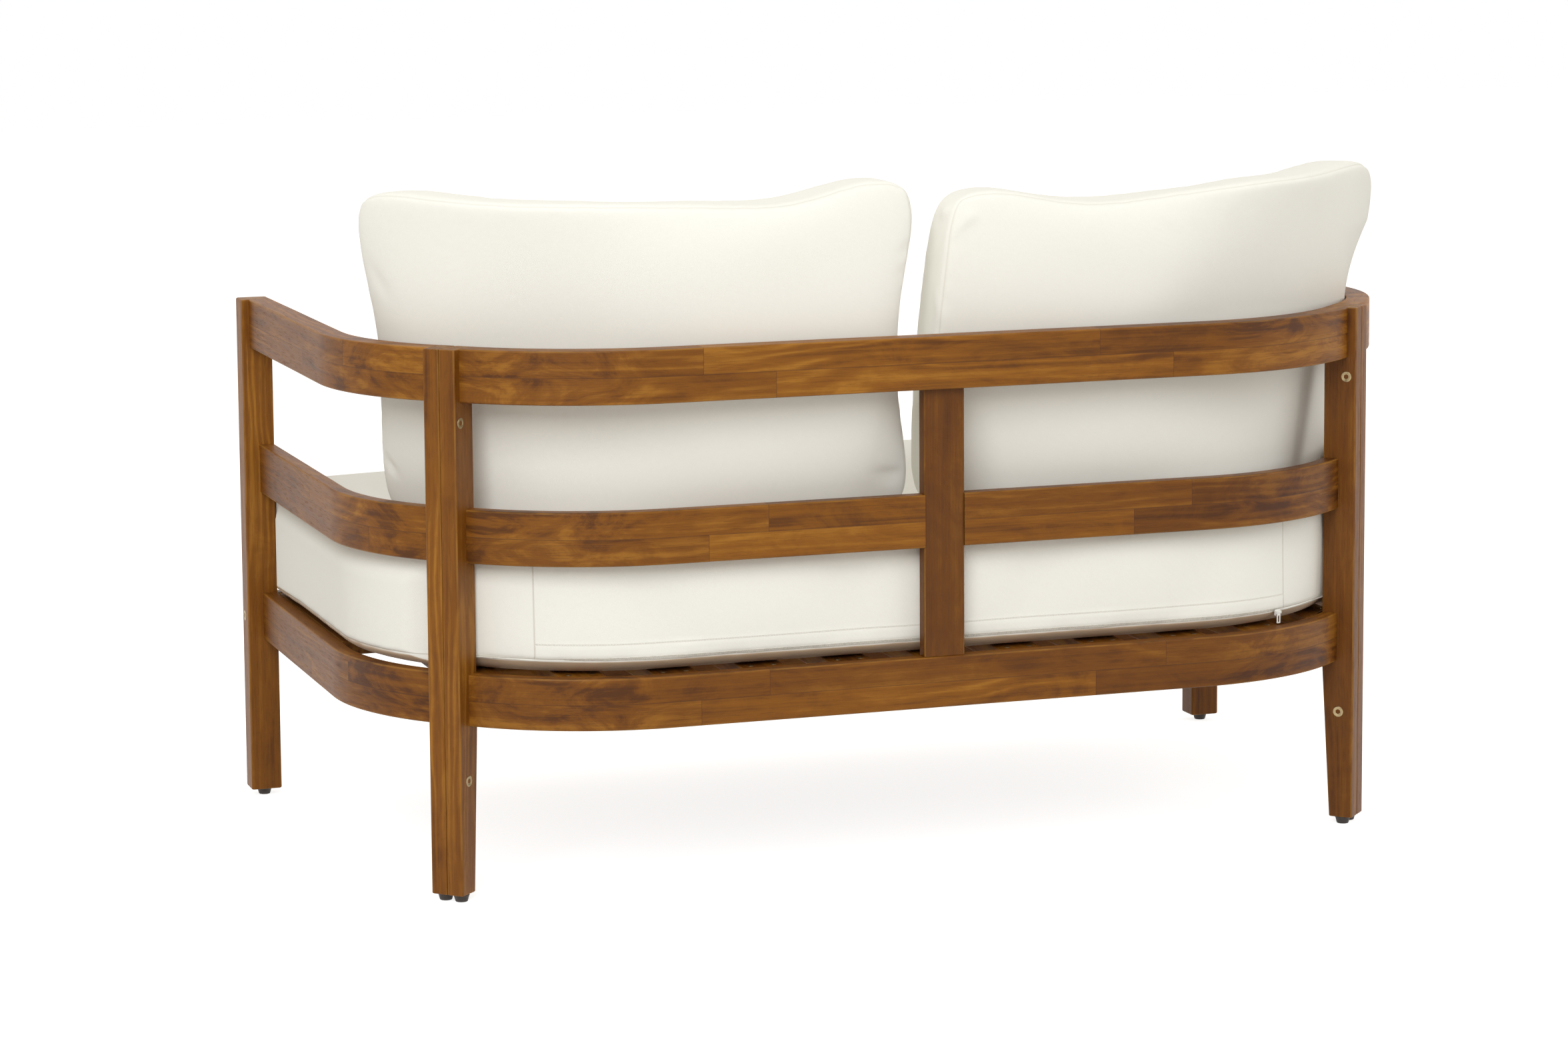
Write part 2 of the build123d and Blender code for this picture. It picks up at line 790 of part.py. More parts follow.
def main():
    os.makedirs("parts", exist_ok=True)
    save_pair("front_post", front_post())
    save_pair("arm_rear_post", corner_post(-1))
    save_pair("back_post", corner_post(1))
    for level in rail_levels:
        save_pair(f"arm_{level}_rail", arm_rail(level))
    slat_mortise = slat_end_tenon(top_rail_bottom, top_rail_bottom + tenon_length + tenon_fit)
    save("back_top_rail", long_back_rail("top") - slat_mortise)
    save_pair("back_middle_rail", middle_back_rail())
    slat_mortise = slat_end_tenon(bottom_rail_top - tenon_length - tenon_fit, bottom_rail_top)
    save("back_bottom_rail", long_back_rail("bottom") - slat_mortise)
    save("back_centre_slat", centre_slat())
    save("front_rail", front_rail())
    save("front_cleat", front_cleat())
    save("rear_cleat", rear_cleat())
    save("front_batten", batten(batten_centre_y - batten_spread / 2))
    save("rear_batten", batten(batten_centre_y + batten_spread / 2))
    for index, slat in enumerate(seat_slats()):
        save(f"seat_slat_{index + 1}", slat)
    corner_bolts = [place * socket_bolt(corner_bolt_length()) for place in corner_bolt_places()]
    save("corner_bolts", group(both_sides(corner_bolts)))
    corner_nuts = [place * corner_nut() for place in corner_bolt_places()]
    save("corner_bolt_nuts", group(both_sides(corner_nuts)))
    save("front_rail_bolts", group(both_sides([rail_bolt_place() * socket_bolt(rail_bolt_length)])))
    nut = rail_nut() - rail_bolt_place() * bolt_body(rail_bolt_length, bolt_fit)
    save("front_rail_nuts", group(both_sides([nut])))
    glides = [glide(front_glide_place()), glide(corner_glide_place(-1)), glide(corner_glide_place(1))]
    save("leg_glides", group(both_sides(glides)))
    seat_core = seat_form(core_levels, cover_thickness)
    save("seat_cushion_cover", seat_form(cushion_levels, 0) - seat_core)
    save("seat_cushion_core", seat_core)
    pillow_core = pillow_form(cover_thickness)
    save_pair("back_pillow_cover", pillow_form(0) - pillow_core)
    save_pair("back_pillow_core", pillow_core)
    save("seat_zip", zip_tape())
    save("zip_slider", zip_slider())
    save("zip_pull", zip_pull())


main()
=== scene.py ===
import math
from collections import namedtuple

import bmesh
import bpy
from bpy.props import FloatProperty, FloatVectorProperty, PointerProperty
from mathutils import Matrix, Vector, noise
from mathutils.bvhtree import BVHTree


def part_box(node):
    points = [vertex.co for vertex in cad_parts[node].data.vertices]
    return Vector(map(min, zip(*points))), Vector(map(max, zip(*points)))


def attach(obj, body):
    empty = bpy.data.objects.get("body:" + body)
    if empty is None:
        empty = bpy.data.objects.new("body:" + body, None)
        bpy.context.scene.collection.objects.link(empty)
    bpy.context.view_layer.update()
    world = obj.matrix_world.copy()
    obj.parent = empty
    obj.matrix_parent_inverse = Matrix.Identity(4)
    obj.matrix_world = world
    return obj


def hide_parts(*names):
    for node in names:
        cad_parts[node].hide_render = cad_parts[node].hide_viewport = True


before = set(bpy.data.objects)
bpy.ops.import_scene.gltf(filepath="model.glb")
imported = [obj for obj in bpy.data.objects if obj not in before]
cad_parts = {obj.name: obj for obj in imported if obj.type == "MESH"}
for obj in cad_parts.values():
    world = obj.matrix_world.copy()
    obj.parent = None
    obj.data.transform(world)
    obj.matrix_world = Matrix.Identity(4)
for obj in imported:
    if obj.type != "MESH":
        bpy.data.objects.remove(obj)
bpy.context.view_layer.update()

bl_info = {
    "name": "Patio loveseat",
    "version": (1, 0, 0),
    "blender": (4, 5, 0),
    "location": "View3D > Sidebar > Loveseat",
    "description": "Builds the wood, hardware and cushions of a two-seat patio loveseat",
    "category": "Object",
}

post_low, post_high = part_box("front_post_left")
top_low, top_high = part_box("back_top_rail")
middle_low, middle_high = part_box("back_middle_rail_left")
bottom_low, bottom_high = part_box("back_bottom_rail")
slat_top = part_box("seat_slat_6")[1].z

inner_x = post_low.x
slat_gap = 0.006
placket_ends = (-0.466, 0.485)
quarter = math.pi / 2
eighth = math.pi / 4
leftward = Vector((1, 0, 0))
backward = Vector((0, 1, 0))
upward = Vector((0, 0, 1))


def measure(name, description, default, unit="LENGTH"):
    """A size or an amount in the panel."""
    return FloatProperty(name=name, description=description, default=default, unit=unit)


def tint(name, description, *parts):
    """A colour in the panel."""
    return FloatVectorProperty(name=name, description=description, subtype="COLOR", size=4, default=(*parts, 1))


class LoveseatWood(bpy.types.PropertyGroup):
    """Sizes and colours of the wooden frame."""

    arm_bend_radius: measure("Arm bend radius", "Radius of the arm rails' bend, on its inner face", 0.255)
    back_bend_radius: measure("Back bend radius", "Radius of the back rails' bend, on its inner face", 0.292)
    corner_post_thickness: measure("Corner post thickness", "Thickness of each post at a rear corner", 0.021)
    corner_post_depth: measure("Corner post depth", "Depth of a corner post from inner to outer face", 0.041)
    corner_foot_depth: measure("Corner foot depth", "Depth of a corner post at its foot", 0.030)
    top_rail_thickness: measure("Top rail thickness", "Thickness of the top rails", 0.0295)
    low_rail_thickness: measure("Lower rail thickness", "Thickness of the middle and bottom rails", 0.0195)
    rounding: measure("Edge rounding", "Radius that the edges are sanded to", 0.0021)
    dark: tint("Dark grain", "Colour of the darkest grain", 0.080, 0.024, 0.0022)
    middle: tint("Middle grain", "Colour of most of the wood", 0.184, 0.062, 0.0044)
    light: tint("Light grain", "Colour of the lightest grain", 0.310, 0.126, 0.0135)
    # Painted highlight: the lighter colour of the rounded edges where they catch the light
    worn: tint("Worn edges", "Colour of the sanded edges", 0.36, 0.170, 0.026)
    glue: tint("Glue line", "Colour of the line between two strips", 0.060, 0.022, 0.008)


class LoveseatCushions(bpy.types.PropertyGroup):
    """Sizes and colours of the seat cushion and the two back pillows."""

    side_gap: measure("Side gap", "Gap between the seat cushion and the rails", 0.005)
    bulge: measure("Bulge", "How far the seat cushion pushes out between the arms' rails", 0.0095)
    lower_seam: measure("Lower seam height", "Height of the seat cushion's lower seam", 0.2855)
    upper_seam: measure("Upper seam height", "Height of the seat cushion's upper seam", 0.402)
    placket: measure("Placket stitch height", "Height of the stitch line over the zip", 0.3035)
    seat_swell: measure("Seat swell", "Most that a panel of the seat cushion swells", 0.013)
    pillow_swell: measure("Pillow swell", "Most that a panel of a pillow swells", 0.030)
    seat_pressure: measure("Seat filling", "Pressure in the seat cushion's cover", 0.5, "NONE")
    pillow_pressure: measure("Pillow filling", "Pressure in a pillow's cover", 1.5, "NONE")
    slack: measure("Slack", "Share by which the fabric is cut larger than the filling", 0.006, "NONE")
    seam_depth: measure("Seam depth", "Depth of the groove along a seam", 0.0016)
    seam_width: measure("Seam width", "Half width of the groove along a seam", 0.0028)
    weave: measure("Weave pitch", "Distance from one thread to the next", 0.0009)
    fabric: tint("Fabric", "Colour of the cream canvas", 0.890, 0.885, 0.820)
    shade: tint("Fabric between threads", "Colour of the canvas between its threads", 0.790, 0.770, 0.690)
    # Painted shade: the warm brown that the seat cushion's underside is given
    backing: tint("Backing", "Colour of the cloth under the seat cushion", 0.58, 0.43, 0.29)
    thread: tint("Thread", "Colour of the sewing thread", 0.90, 0.89, 0.84)


class LoveseatHardware(bpy.types.PropertyGroup):
    """Sizes and colours of the bolts, screws, glides and zip."""

    bolt_head: measure("Bolt head", "Diameter of a bolt's head", 0.0135)
    screw_head: measure("Screw head", "Diameter of a slat screw's head", 0.008)
    zinc: tint("Yellow zinc", "Colour of the plated bolts", 0.40, 0.31, 0.17)
    plastic: tint("Glide plastic", "Colour of the glides", 0.030, 0.020, 0.015)
    enamel: tint("Zip enamel", "Colour of the zip's slider and pull", 0.86, 0.85, 0.80)


class LoveseatStudio(bpy.types.PropertyGroup):
    """Camera, lamps and floor."""

    lens: measure("Lens", "Focal length for a 36 mm wide film", 94.99, "CAMERA")
    turn: measure("Camera turn", "Turn of the view from straight along the depth", -0.3148, "ROTATION")
    tilt: measure("Camera tilt", "How far the view looks down", 0.1224, "ROTATION")
    roll: measure("Camera roll", "Roll of the view", 0.0093, "ROTATION")
    key: measure("Key lamp", "Power of the large lamp over the camera", 120.0, "POWER")
    fill: measure("Fill lamp", "Power of the lamp on the other side", 34.0, "POWER")
    top: measure("Top lamp", "Power of the lamp overhead", 16.0, "POWER")
    sky: measure("Room light", "Strength of the even light from all round", 0.60, "NONE")
    floor: tint("Floor", "Colour of the floor", 0.62, 0.61, 0.60)


def wood():
    return bpy.context.scene.loveseat_wood


def cushions():
    return bpy.context.scene.loveseat_cushions


def hardware():
    return bpy.context.scene.loveseat_hardware


def studio():
    return bpy.context.scene.loveseat_studio


class Wire:
    """An output of a shader node; arithmetic with it adds a Math node."""

    def __init__(self, tree, socket):
        self.tree, self.socket = tree, socket

    def math(self, operation, *others, clamp=False):
        values = dict(enumerate((self, *others)))
        return node(self.tree, "ShaderNodeMath", values, operation=operation, use_clamp=clamp)[0]

    def vector(self, operation, *others, **inputs):
        values = {**dict(enumerate((self, *others))), **inputs}
        return node(self.tree, "ShaderNodeVectorMath", values, operation=operation)

    def __add__(self, other):
        return self.math("ADD", other)

    def __sub__(self, other):
        return self.math("SUBTRACT", other)

    def __mul__(self, other):
        return self.math("MULTIPLY", other)

    def __truediv__(self, other):
        return self.math("DIVIDE", other)

    def __pow__(self, other):
        return self.math("POWER", other)


def feed(tree, made, inputs):
    """Gives a node's inputs their values, or links them to the wires that feed them."""
    for key, value in inputs.items():
        if isinstance(value, Wire):
            tree.links.new(value.socket, made.inputs[key])
        else:
            made.inputs[key].default_value = value


def node(tree, kind, inputs=None, **settings):
    """Adds a node and gives its outputs, by number and by name."""
    made = tree.nodes.new(kind)
    for name, value in settings.items():
        setattr(made, name, value)
    feed(tree, made, inputs or {})
    outputs = {output.name: Wire(tree, output) for output in made.outputs}
    outputs.update((number, Wire(tree, output)) for number, output in enumerate(made.outputs))
    return outputs


def scaled(vector, factors):
    """A vector multiplied by three factors."""
    return vector.vector("MULTIPLY", factors)[0]


def cloudy(vector, scale=1.0, detail=2.0, roughness=0.5, distortion=0.0):
    """The value of a noise texture."""
    inputs = {"Vector": vector, "Scale": scale, "Detail": detail, "Roughness": roughness, "Distortion": distortion}
    return node(vector.tree, "ShaderNodeTexNoise", inputs)[0]


def between(value, low, high, out_low=0.0, out_high=1.0):
    """A value mapped smoothly from one range to another."""
    inputs = {"Value": value, "From Min": low, "From Max": high, "To Min": out_low, "To Max": out_high}
    return node(value.tree, "ShaderNodeMapRange", inputs, interpolation_type="SMOOTHSTEP")[0]


def mixed(factor, first, second):
    """Two colours mixed."""
    return node(factor.tree, "ShaderNodeMix", {0: factor, 6: first, 7: second}, data_type="RGBA")[2]


def attribute(tree, name, output="Fac"):
    """A value or vector stored on the mesh."""
    return node(tree, "ShaderNodeAttribute", attribute_name=name)[output]


def axes_of(vector):
    """The three parts of a vector."""
    return node(vector.tree, "ShaderNodeSeparateXYZ", {0: vector})


def raised(height, strength, distance):
    """A normal bent by a height."""
    return node(height.tree, "ShaderNodeBump", {"Height": height, "Strength": strength, "Distance": distance})[0]


def node_group(name, inputs, outputs):
    """Turns a function into one that places the node group that it builds, made when it is first needed."""

    def around_build(build):
        def place(tree, values):
            if name not in bpy.data.node_groups:
                made = bpy.data.node_groups.new(name, "ShaderNodeTree")
                for way, sockets in (("INPUT", inputs), ("OUTPUT", outputs)):
                    for label, kind in sockets.items():
                        made.interface.new_socket(label, in_out=way, socket_type="NodeSocket" + kind)
                given = node(made, "NodeGroupInput")
                feed(made, made.nodes.new("NodeGroupOutput"), build(made, given))
            return node(tree, "ShaderNodeGroup", values, node_tree=bpy.data.node_groups[name])

        return place

    return around_build


@node_group(
    "Acacia grain",
    {
        "Grain": "Vector", "Strip": "Float", "Tone": "Float", "Bend": "Float", "End": "Float",
        "Dark": "Color", "Middle": "Color", "Light": "Color",
    },
    {"Colour": "Color", "Roughness": "Float", "Height": "Float"},
)
def acacia_grain(tree, given):
    """Colour, roughness and height of acacia from where a point lies along and across its piece."""
    seed = node(tree, "ShaderNodeTexWhiteNoise", {"W": given["Strip"] * 37.7}, noise_dimensions="1D")
    place = given["Grain"].vector("ADD", scaled(seed["Color"], (3.0, 0.16, 0.16)))[0]
    drift = cloudy(scaled(place, (1.9, 13.0, 13.0)), detail=3.0, distortion=0.4)
    knots = cloudy(scaled(place, (4.2, 22.0, 22.0)))
    across = scaled(place, (0.02, 1.0, 1.0)).vector("LENGTH")["Value"]
    turns = across * 105.0 + drift * 7.0 + knots * 2.2
    rings = ((turns * math.tau).math("SINE") * 0.5 + 0.5) ** 1.6
    fibre = cloudy(scaled(place, (7.0, 430.0, 430.0)), detail=4.0, roughness=0.62)
    streak = cloudy(scaled(place, (2.6, 95.0, 95.0)), detail=3.0)
    pores = between(cloudy(scaled(place, (42.0, 1250.0, 1250.0)), detail=1.0), 0.60, 0.70)
    curl = cloudy(scaled(place, (9.0, 16.0, 20.0)), detail=5.0, roughness=0.66, distortion=2.2)
    drawn = between(cloudy(scaled(place, (3.1, 9.0, 9.0)), detail=1.0), 0.42, 0.62, 0.08, 0.30)
    level = rings * drawn
    for part, low, high, amount in ((drift, 0.28, 0.72, 0.30), (streak, 0.25, 0.75, 0.24), (fibre, 0.2, 0.8, 0.20)):
        level = level + between(part, low, high) * amount
    level = level + (seed["Value"] * 0.12 + 0.05)
    level = level + (between(curl, 0.3, 0.7) - 0.5) * (given["Bend"] * 0.42 + 0.20)
    colour = mixed(between(level, 0.12, 0.56), given["Dark"], given["Middle"])
    colour = mixed(between(level, 0.52, 1.02), colour, given["Light"])
    colour = mixed(pores * 0.30, colour, given["Dark"])
    colour = mixed(given["End"] * 0.30, colour, given["Dark"])
    # Tone scales the lightness: the piece's own tone together with, on some pieces, painted light and shade
    powers = [given["Tone"] ** power for power in (1.0, 1.2, 1.4)]
    lightness = node(tree, "ShaderNodeCombineXYZ", dict(enumerate(powers)))[0]
    return {
        "Colour": colour.vector("MULTIPLY", lightness)[0],
        "Roughness": fibre * 0.16 + 0.36 + pores * 0.12,
        "Height": rings * 0.25 + fibre * 0.6 - pores * 0.7,
    }


@node_group("Edge wear", {"Edge": "Float", "Place": "Vector", "Amount": "Float"}, {"Mask": "Float"})
def edge_highlight(tree, given):
    """How far a rounded edge is painted lighter, a painted highlight broken into patches, from the edge value stored
    on the mesh.
    """
    patch = between(cloudy(scaled(given["Place"], (16.0, 90.0, 90.0)), detail=4.0, roughness=0.6), 0.34, 0.66)
    edge = between(given["Edge"], 0.25, 1.0)
    return {"Mask": (edge * patch).math("MULTIPLY", given["Amount"], clamp=True)}


@node_group(
    "Plain weave",
    {"Place": "Vector", "Facing": "Vector", "Pitch": "Float"},
    {"Height": "Float", "Thread": "Float", "Mottle": "Float"},
)
def plain_weave(tree, given):
    """Height and mottle of a plain weave, laid on from the side that a surface faces."""
    place = given["Place"]
    turns = node(tree, "ShaderNodeMath", {0: math.pi, 1: given["Pitch"]}, operation="DIVIDE")[0]
    wobble = cloudy(scaled(place, (55.0, 55.0, 55.0))) * 2.4
    angles = axes_of(place.vector("SCALE", Scale=turns)[0])
    waves = [(angles[axis] + wobble).math("SINE") for axis in range(3)]
    facing = axes_of(given["Facing"].vector("ABSOLUTE")[0])
    total = weight = 0.0
    for first, second, third in ((0, 1, 2), (1, 2, 0), (2, 0, 1)):
        share = facing[third] ** 5.0
        total = waves[first] * waves[second] * share + total
        weight = share + weight
    height = total / weight * 0.5 + 0.5
    slub = cloudy(scaled(place, (260.0, 260.0, 900.0)), detail=3.0)
    broad = cloudy(scaled(place, (5.0, 5.0, 5.0)), detail=3.0)
    fine = cloudy(scaled(place, (150.0, 150.0, 150.0)), detail=4.0, roughness=0.65)
    return {
        "Height": slub * 0.35 + height,
        "Thread": between(height, 0.15, 0.75),
        "Mottle": broad * 0.5 + fine * 0.5,
    }


@node_group("Handling marks", {"Place": "Vector", "Scale": "Float"}, {"Marks": "Float", "Grime": "Float"})
def handling_marks(tree, given):
    """Fine handling marks and grime for metal, enamel and plastic."""
    marks = cloudy(scaled(given["Place"], (1.0, 9.0, 3.0)), given["Scale"], detail=4.0, roughness=0.7)
    grime = cloudy(given["Place"], given["Scale"] * 0.4, detail=4.0)
    return {"Marks": between(marks, 0.45, 0.7), "Grime": between(grime, 0.4, 0.75)}


@node_group(
    "Seam line",
    {"Across": "Float", "At": "Float", "Along": "Float", "From": "Float", "To": "Float", "Behind": "Float"},
    {"Mask": "Float"},
)
def seam_line(tree, given):
    """A thin line where two coordinates lie within a range and a third on a value."""
    off = (given["Across"] - given["At"]).math("ABSOLUTE")
    inside = given["Along"].math("GREATER_THAN", given["From"]) * given["Along"].math("LESS_THAN", given["To"])
    return {"Mask": between(off, 0.0003, 0.0012, 1.0, 0.0) * inside * given["Behind"].math("GREATER_THAN", 0.15)}


def new_material(name):
    """A material whose node tree holds its shader and its output."""
    material = bpy.data.materials.new(name)
    material.use_nodes = True
    tree = material.node_tree
    tree.nodes.clear()
    shader = tree.nodes.new("ShaderNodeBsdfPrincipled")
    node(tree, "ShaderNodeOutputMaterial", {"Surface": Wire(tree, shader.outputs[0])})
    return material, tree, shader


def oiled_acacia(name="Oiled acacia", deepen=1.0):
    """Golden-brown oiled acacia with laminated strips, glue lines and a painted highlight on its rounded edges."""
    if name in bpy.data.materials:
        return bpy.data.materials[name]
    colours = wood()
    material, tree, shader = new_material(name)
    place = attribute(tree, "grain", "Vector")
    inputs = {"Grain": place}
    for label in ("Strip", "Tone", "Bend", "End"):
        inputs[label] = attribute(tree, label.lower())
    for label in ("Dark", "Middle", "Light"):
        inputs[label] = [deepen * part for part in getattr(colours, label.lower())[:3]] + [1]
    grain = acacia_grain(tree, inputs)
    # Lighter rounded edges: painted highlight
    highlight = edge_highlight(tree, {"Edge": attribute(tree, "edge"), "Place": place, "Amount": 0.55})["Mask"]
    colour = mixed(highlight, grain["Colour"], tuple(colours.worn))
    feed(tree, shader, {
        "Base Color": mixed(attribute(tree, "glue") * 0.62, colour, tuple(colours.glue)),
        "Roughness": grain["Roughness"],
        "Specular IOR Level": 0.22,
        "Normal": raised(grain["Height"], 0.5, 0.0004),
    })
    return material


def cream_canvas(name="Cream canvas", lines=(), shading=0.3):
    """Cream woven canvas with a soft nap, its seams shaded by a share.

    Each line is a seam of the boxing: the axis it crosses, where, the axis it runs along, from where and to where.
    """
    if name in bpy.data.materials:
        return bpy.data.materials[name]
    colours = cushions()
    fabric, shade = tuple(colours.fabric), tuple(colours.shade)
    material, tree, shader = new_material(name)
    spot = node(tree, "ShaderNodeTexCoord")
    weave = plain_weave(tree, {"Place": spot["Object"], "Facing": spot["Normal"], "Pitch": colours.weave})
    crease = between(attribute(tree, "seam"), 0.0002, 0.0016, shading, 0.0)
    axes = axes_of(spot["Object"])
    # Each listed line adds a thin dark line along a seam: painted shade
    for across, at, along, start, end in lines:
        inputs = {"Across": axes[across], "At": at, "Along": axes[along], "From": start, "To": end, "Behind": axes[1]}
        crease = crease.math("MAXIMUM", seam_line(tree, inputs)["Mask"] * 0.7)
    colour = mixed(weave["Thread"] * 0.22 + 0.78, shade, fabric)
    colour = mixed(between(weave["Mottle"], 0.35, 0.65, 0.0, 0.10), colour, shade)
    # Downward faces below the lower seam turn warm brown: painted shade under the seat cushion
    if lines:
        downward = between(axes_of(spot["Normal"])[2], -0.45, -0.15, 1.0, 0.0)
        seam = colours.lower_seam
        below = between(axes[2], seam - 0.003, seam - 0.001, 1.0, 0.0)
        colour = mixed(downward * below, colour, tuple(colours.backing))
    # The crease and the seam lines darken the colour towards a warm brown: painted shade in the seams
    feed(tree, shader, {
        "Base Color": mixed(crease * 0.55, colour, (0.44, 0.38, 0.29, 1)),
        "Roughness": between(weave["Thread"], 0.0, 1.0, 0.93, 0.84),
        "Sheen Weight": 0.12,
        "Sheen Roughness": 0.6,
        "Specular IOR Level": 0.2,
        "Normal": raised(weave["Height"] * 0.4 - crease * 2.0, 0.5, 0.0005),
    })
    return material


def simple_finish(name, colour, roughness, metallic=0.0, scale=220.0, darkening=0.35):
    """A metal, enamel, plastic or thread finish with handling marks."""
    if name in bpy.data.materials:
        return bpy.data.materials[name]
    material, tree, shader = new_material(name)
    marks = handling_marks(tree, {"Place": node(tree, "ShaderNodeTexCoord")["Object"], "Scale": scale})
    dull = tuple(part * (1 - darkening) for part in colour[:3]) + (1,)
    feed(tree, shader, {
        "Base Color": mixed(marks["Grime"], tuple(colour), dull),
        "Roughness": between(marks["Marks"], 0.0, 1.0, roughness, min(roughness + 0.22, 1)),
        "Metallic": metallic,
        "Normal": raised(marks["Marks"], 0.4, 0.00008),
    })
    return material


def new_piece(name, vertices, faces, body, slot, material):
    """A mesh object that rides on a body and takes the material given; the slot is not used."""
    mesh = bpy.data.meshes.new(name)
    mesh.from_pydata([tuple(v) for v in vertices], [], faces)
    mesh.materials.append(material)
    mesh.update()
    piece = bpy.data.objects.new(name, mesh)
    bpy.context.scene.collection.objects.link(piece)
    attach(piece, body)
    return piece


def outward_faces(piece):
    """Turns every face of a closed piece to point outwards."""
    work = bmesh.new()
    work.from_mesh(piece.data)
    bmesh.ops.recalc_face_normals(work, faces=work.faces)
    work.to_mesh(piece.data)
    work.free()


def smooth(piece, angle=0.6, weighted=True):
    """Smooth shading that keeps real corners sharp and flat faces flat."""
    outward_faces(piece)
    piece.data.shade_smooth()
    piece.data.set_sharp_from_angle(angle=angle)
    if weighted:
        piece.modifiers.new("Weighted normals", "WEIGHTED_NORMAL").keep_sharp = True


def store(piece, name, values, kind="FLOAT", domain="POINT"):
    """Keeps a list of values on the mesh for its material."""
    layer = piece.data.attributes.new(name, kind, domain)
    if kind == "FLOAT_VECTOR":
        layer.data.foreach_set("vector", [part for value in values for part in value])
    else:
        layer.data.foreach_set("value", values)


def tube_faces(rings, size, first=0):
    """Faces between rings of points that follow one another."""
    faces = []
    for ring in range(rings - 1):
        for index in range(size):
            a = first + ring * size + index
            b = first + ring * size + (index + 1) % size
            faces.append((a, b, b + size, a + size))
    return faces


def end_faces(rings, size):
    """The two faces that close a tube."""
    count = rings * size
    return [tuple(range(size)), tuple(range(count - size, count))]


def section_points(u0, u1, v0, v1, rounding, seams=()):
    """A rounded rectangle as (u, v, edge) points, with extra points at heights where strips meet."""
    points = []
    steps = 3
    corners = ((u1, v0, -1, 1), (u1, v1, -1, -1), (u0, v1, 1, -1), (u0, v0, 1, 1))
    for index, (u, v, du, dv) in enumerate(corners):
        start = -quarter + index * quarter
        for step in range(steps + 1):
            angle = start + quarter * step / steps
            edge = 1.0 if 0 < step < steps else 0.35
            points.append((u + rounding * (du + math.cos(angle)), v + rounding * (dv + math.sin(angle)), edge))
        if index in (0, 2):
            for height in (seams if index == 0 else reversed(seams)):
                points.append((u, height, 0.0))
    return points


def wooden(piece, grain, on_points, on_faces, node_name):
    """Keeps what the wood's material needs on a piece, smooths it and lets it stand for its node."""
    store(piece, "grain", grain, "FLOAT_VECTOR")
    for label, values in zip(("edge", "glue", "bend"), on_points):
        store(piece, label, values)
    for label, values in zip(("strip", "tone", "end"), on_faces):
        store(piece, label, values, domain="FACE")
    smooth(piece)
    if node_name:
        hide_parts(node_name)


def bar(
    name, node_name, stations, box, slot="oiled_acacia", material=None,
    seed=0.0, joints=None, tones=1.0, end_rounding=0.0012, mirror=False,
):
    """A wooden bar through a line of stations (origin, across, up, distance, bend).

    The box gives its section as (u0, u1, v0, v1), or a function of the distance that does. joints gives, for the
    lower and the upper strip of a laminated rail, where lengths of it meet end to end, and tones how light each is,
    its own tone together with painted light and shade.
    """
    box_at = box if callable(box) else (lambda distance: box)
    near, far, lead = stations[0], stations[-1], end_rounding
    stops = [(near, lead), (moved(near, lead * 0.3), lead * 0.3), (moved(near, lead), 0.0)]
    stops += [(place, 0.0) for place in stations[1:-1]]
    stops += [(moved(far, -lead), 0.0), (moved(far, -lead * 0.3), lead * 0.3), (far, lead)]
    half_line = 0.0008
    vertices, grain, edges, glue, bends, heights = [], [], [], [], [], []
    for (origin, across, up, distance, bend), inset in stops:
        u0, u1, v0, v1 = box_at(distance)
        middle = (v0 + v1) / 2
        seams = (middle - half_line, middle, middle + half_line) if joints else ()
        wobble = 1 + 0.16 * noise.noise(Vector((distance * 9, seed * 11, 0)))
        rounding = max(wood().rounding * wobble - inset * 0.6, 0.0006)
        loop = section_points(u0 + inset, u1 - inset, v0 + inset, v1 - inset, rounding, seams)
        for u, v, edge in loop:
            spot = origin + across * u + up * v
            vertices.append(Vector((-spot.x, spot.y, spot.z)) if mirror else spot)
            grain.append((distance + seed * 3.1, u + seed * 0.07, v - v0 + seed * 0.05))
            edges.append(1.0 if inset > 0 else edge)
            bends.append(bend)
            heights.append(v - middle)
            row = joints[v > middle + half_line / 2] if joints else ()
            glued = joints and abs(v - middle) < 1e-5 or any(abs(distance - joint) < 1e-5 for joint in row)
            glue.append(1.0 if glued else 0.0)
    size = len(loop)
    faces = tube_faces(len(stops), size)
    strips, light = [], []
    for a, b, _, _ in faces:
        strip, tone = seed, tones
        if joints:
            upper = heights[a] + heights[b] > 0
            at = (stops[a // size][0][3] + stops[a // size + 1][0][3]) / 2
            number = sum(at > joint for joint in joints[upper])
            strip, tone = seed + 0.37 * upper + 0.171 * number, tones[upper][number]
        strips.append(strip)
        light.append(tone)
    ends = [0.0] * len(faces) + [1.0, 1.0]
    faces += end_faces(len(stops), size)
    piece = new_piece(name, vertices, faces, "frame", slot, material or oiled_acacia())
    wooden(piece, grain, (edges, glue, bends), (strips + [seed, seed], light + [1.0, 1.0], ends), node_name)


def moved(place, step):
    """A station moved along its bar."""
    origin, across, up, distance, bend = place
    return origin + across.cross(up) * step, across, up, distance + step, bend


def straight(start, end, across, up, spacing=0.03):
    """Stations along a straight bar."""
    length = (end - start).length
    count = max(int(length / spacing), 1)
    way = (end - start) / length
    if across.cross(up).dot(way) < 0:
        raise RuntimeError("a bar's across and up directions have to make its own")
    return [(start + way * (length * i / count), across, up, length * i / count, 0.0) for i in range(count + 1)]


Corner = namedtuple("Corner", "arm back inner outer outward along")


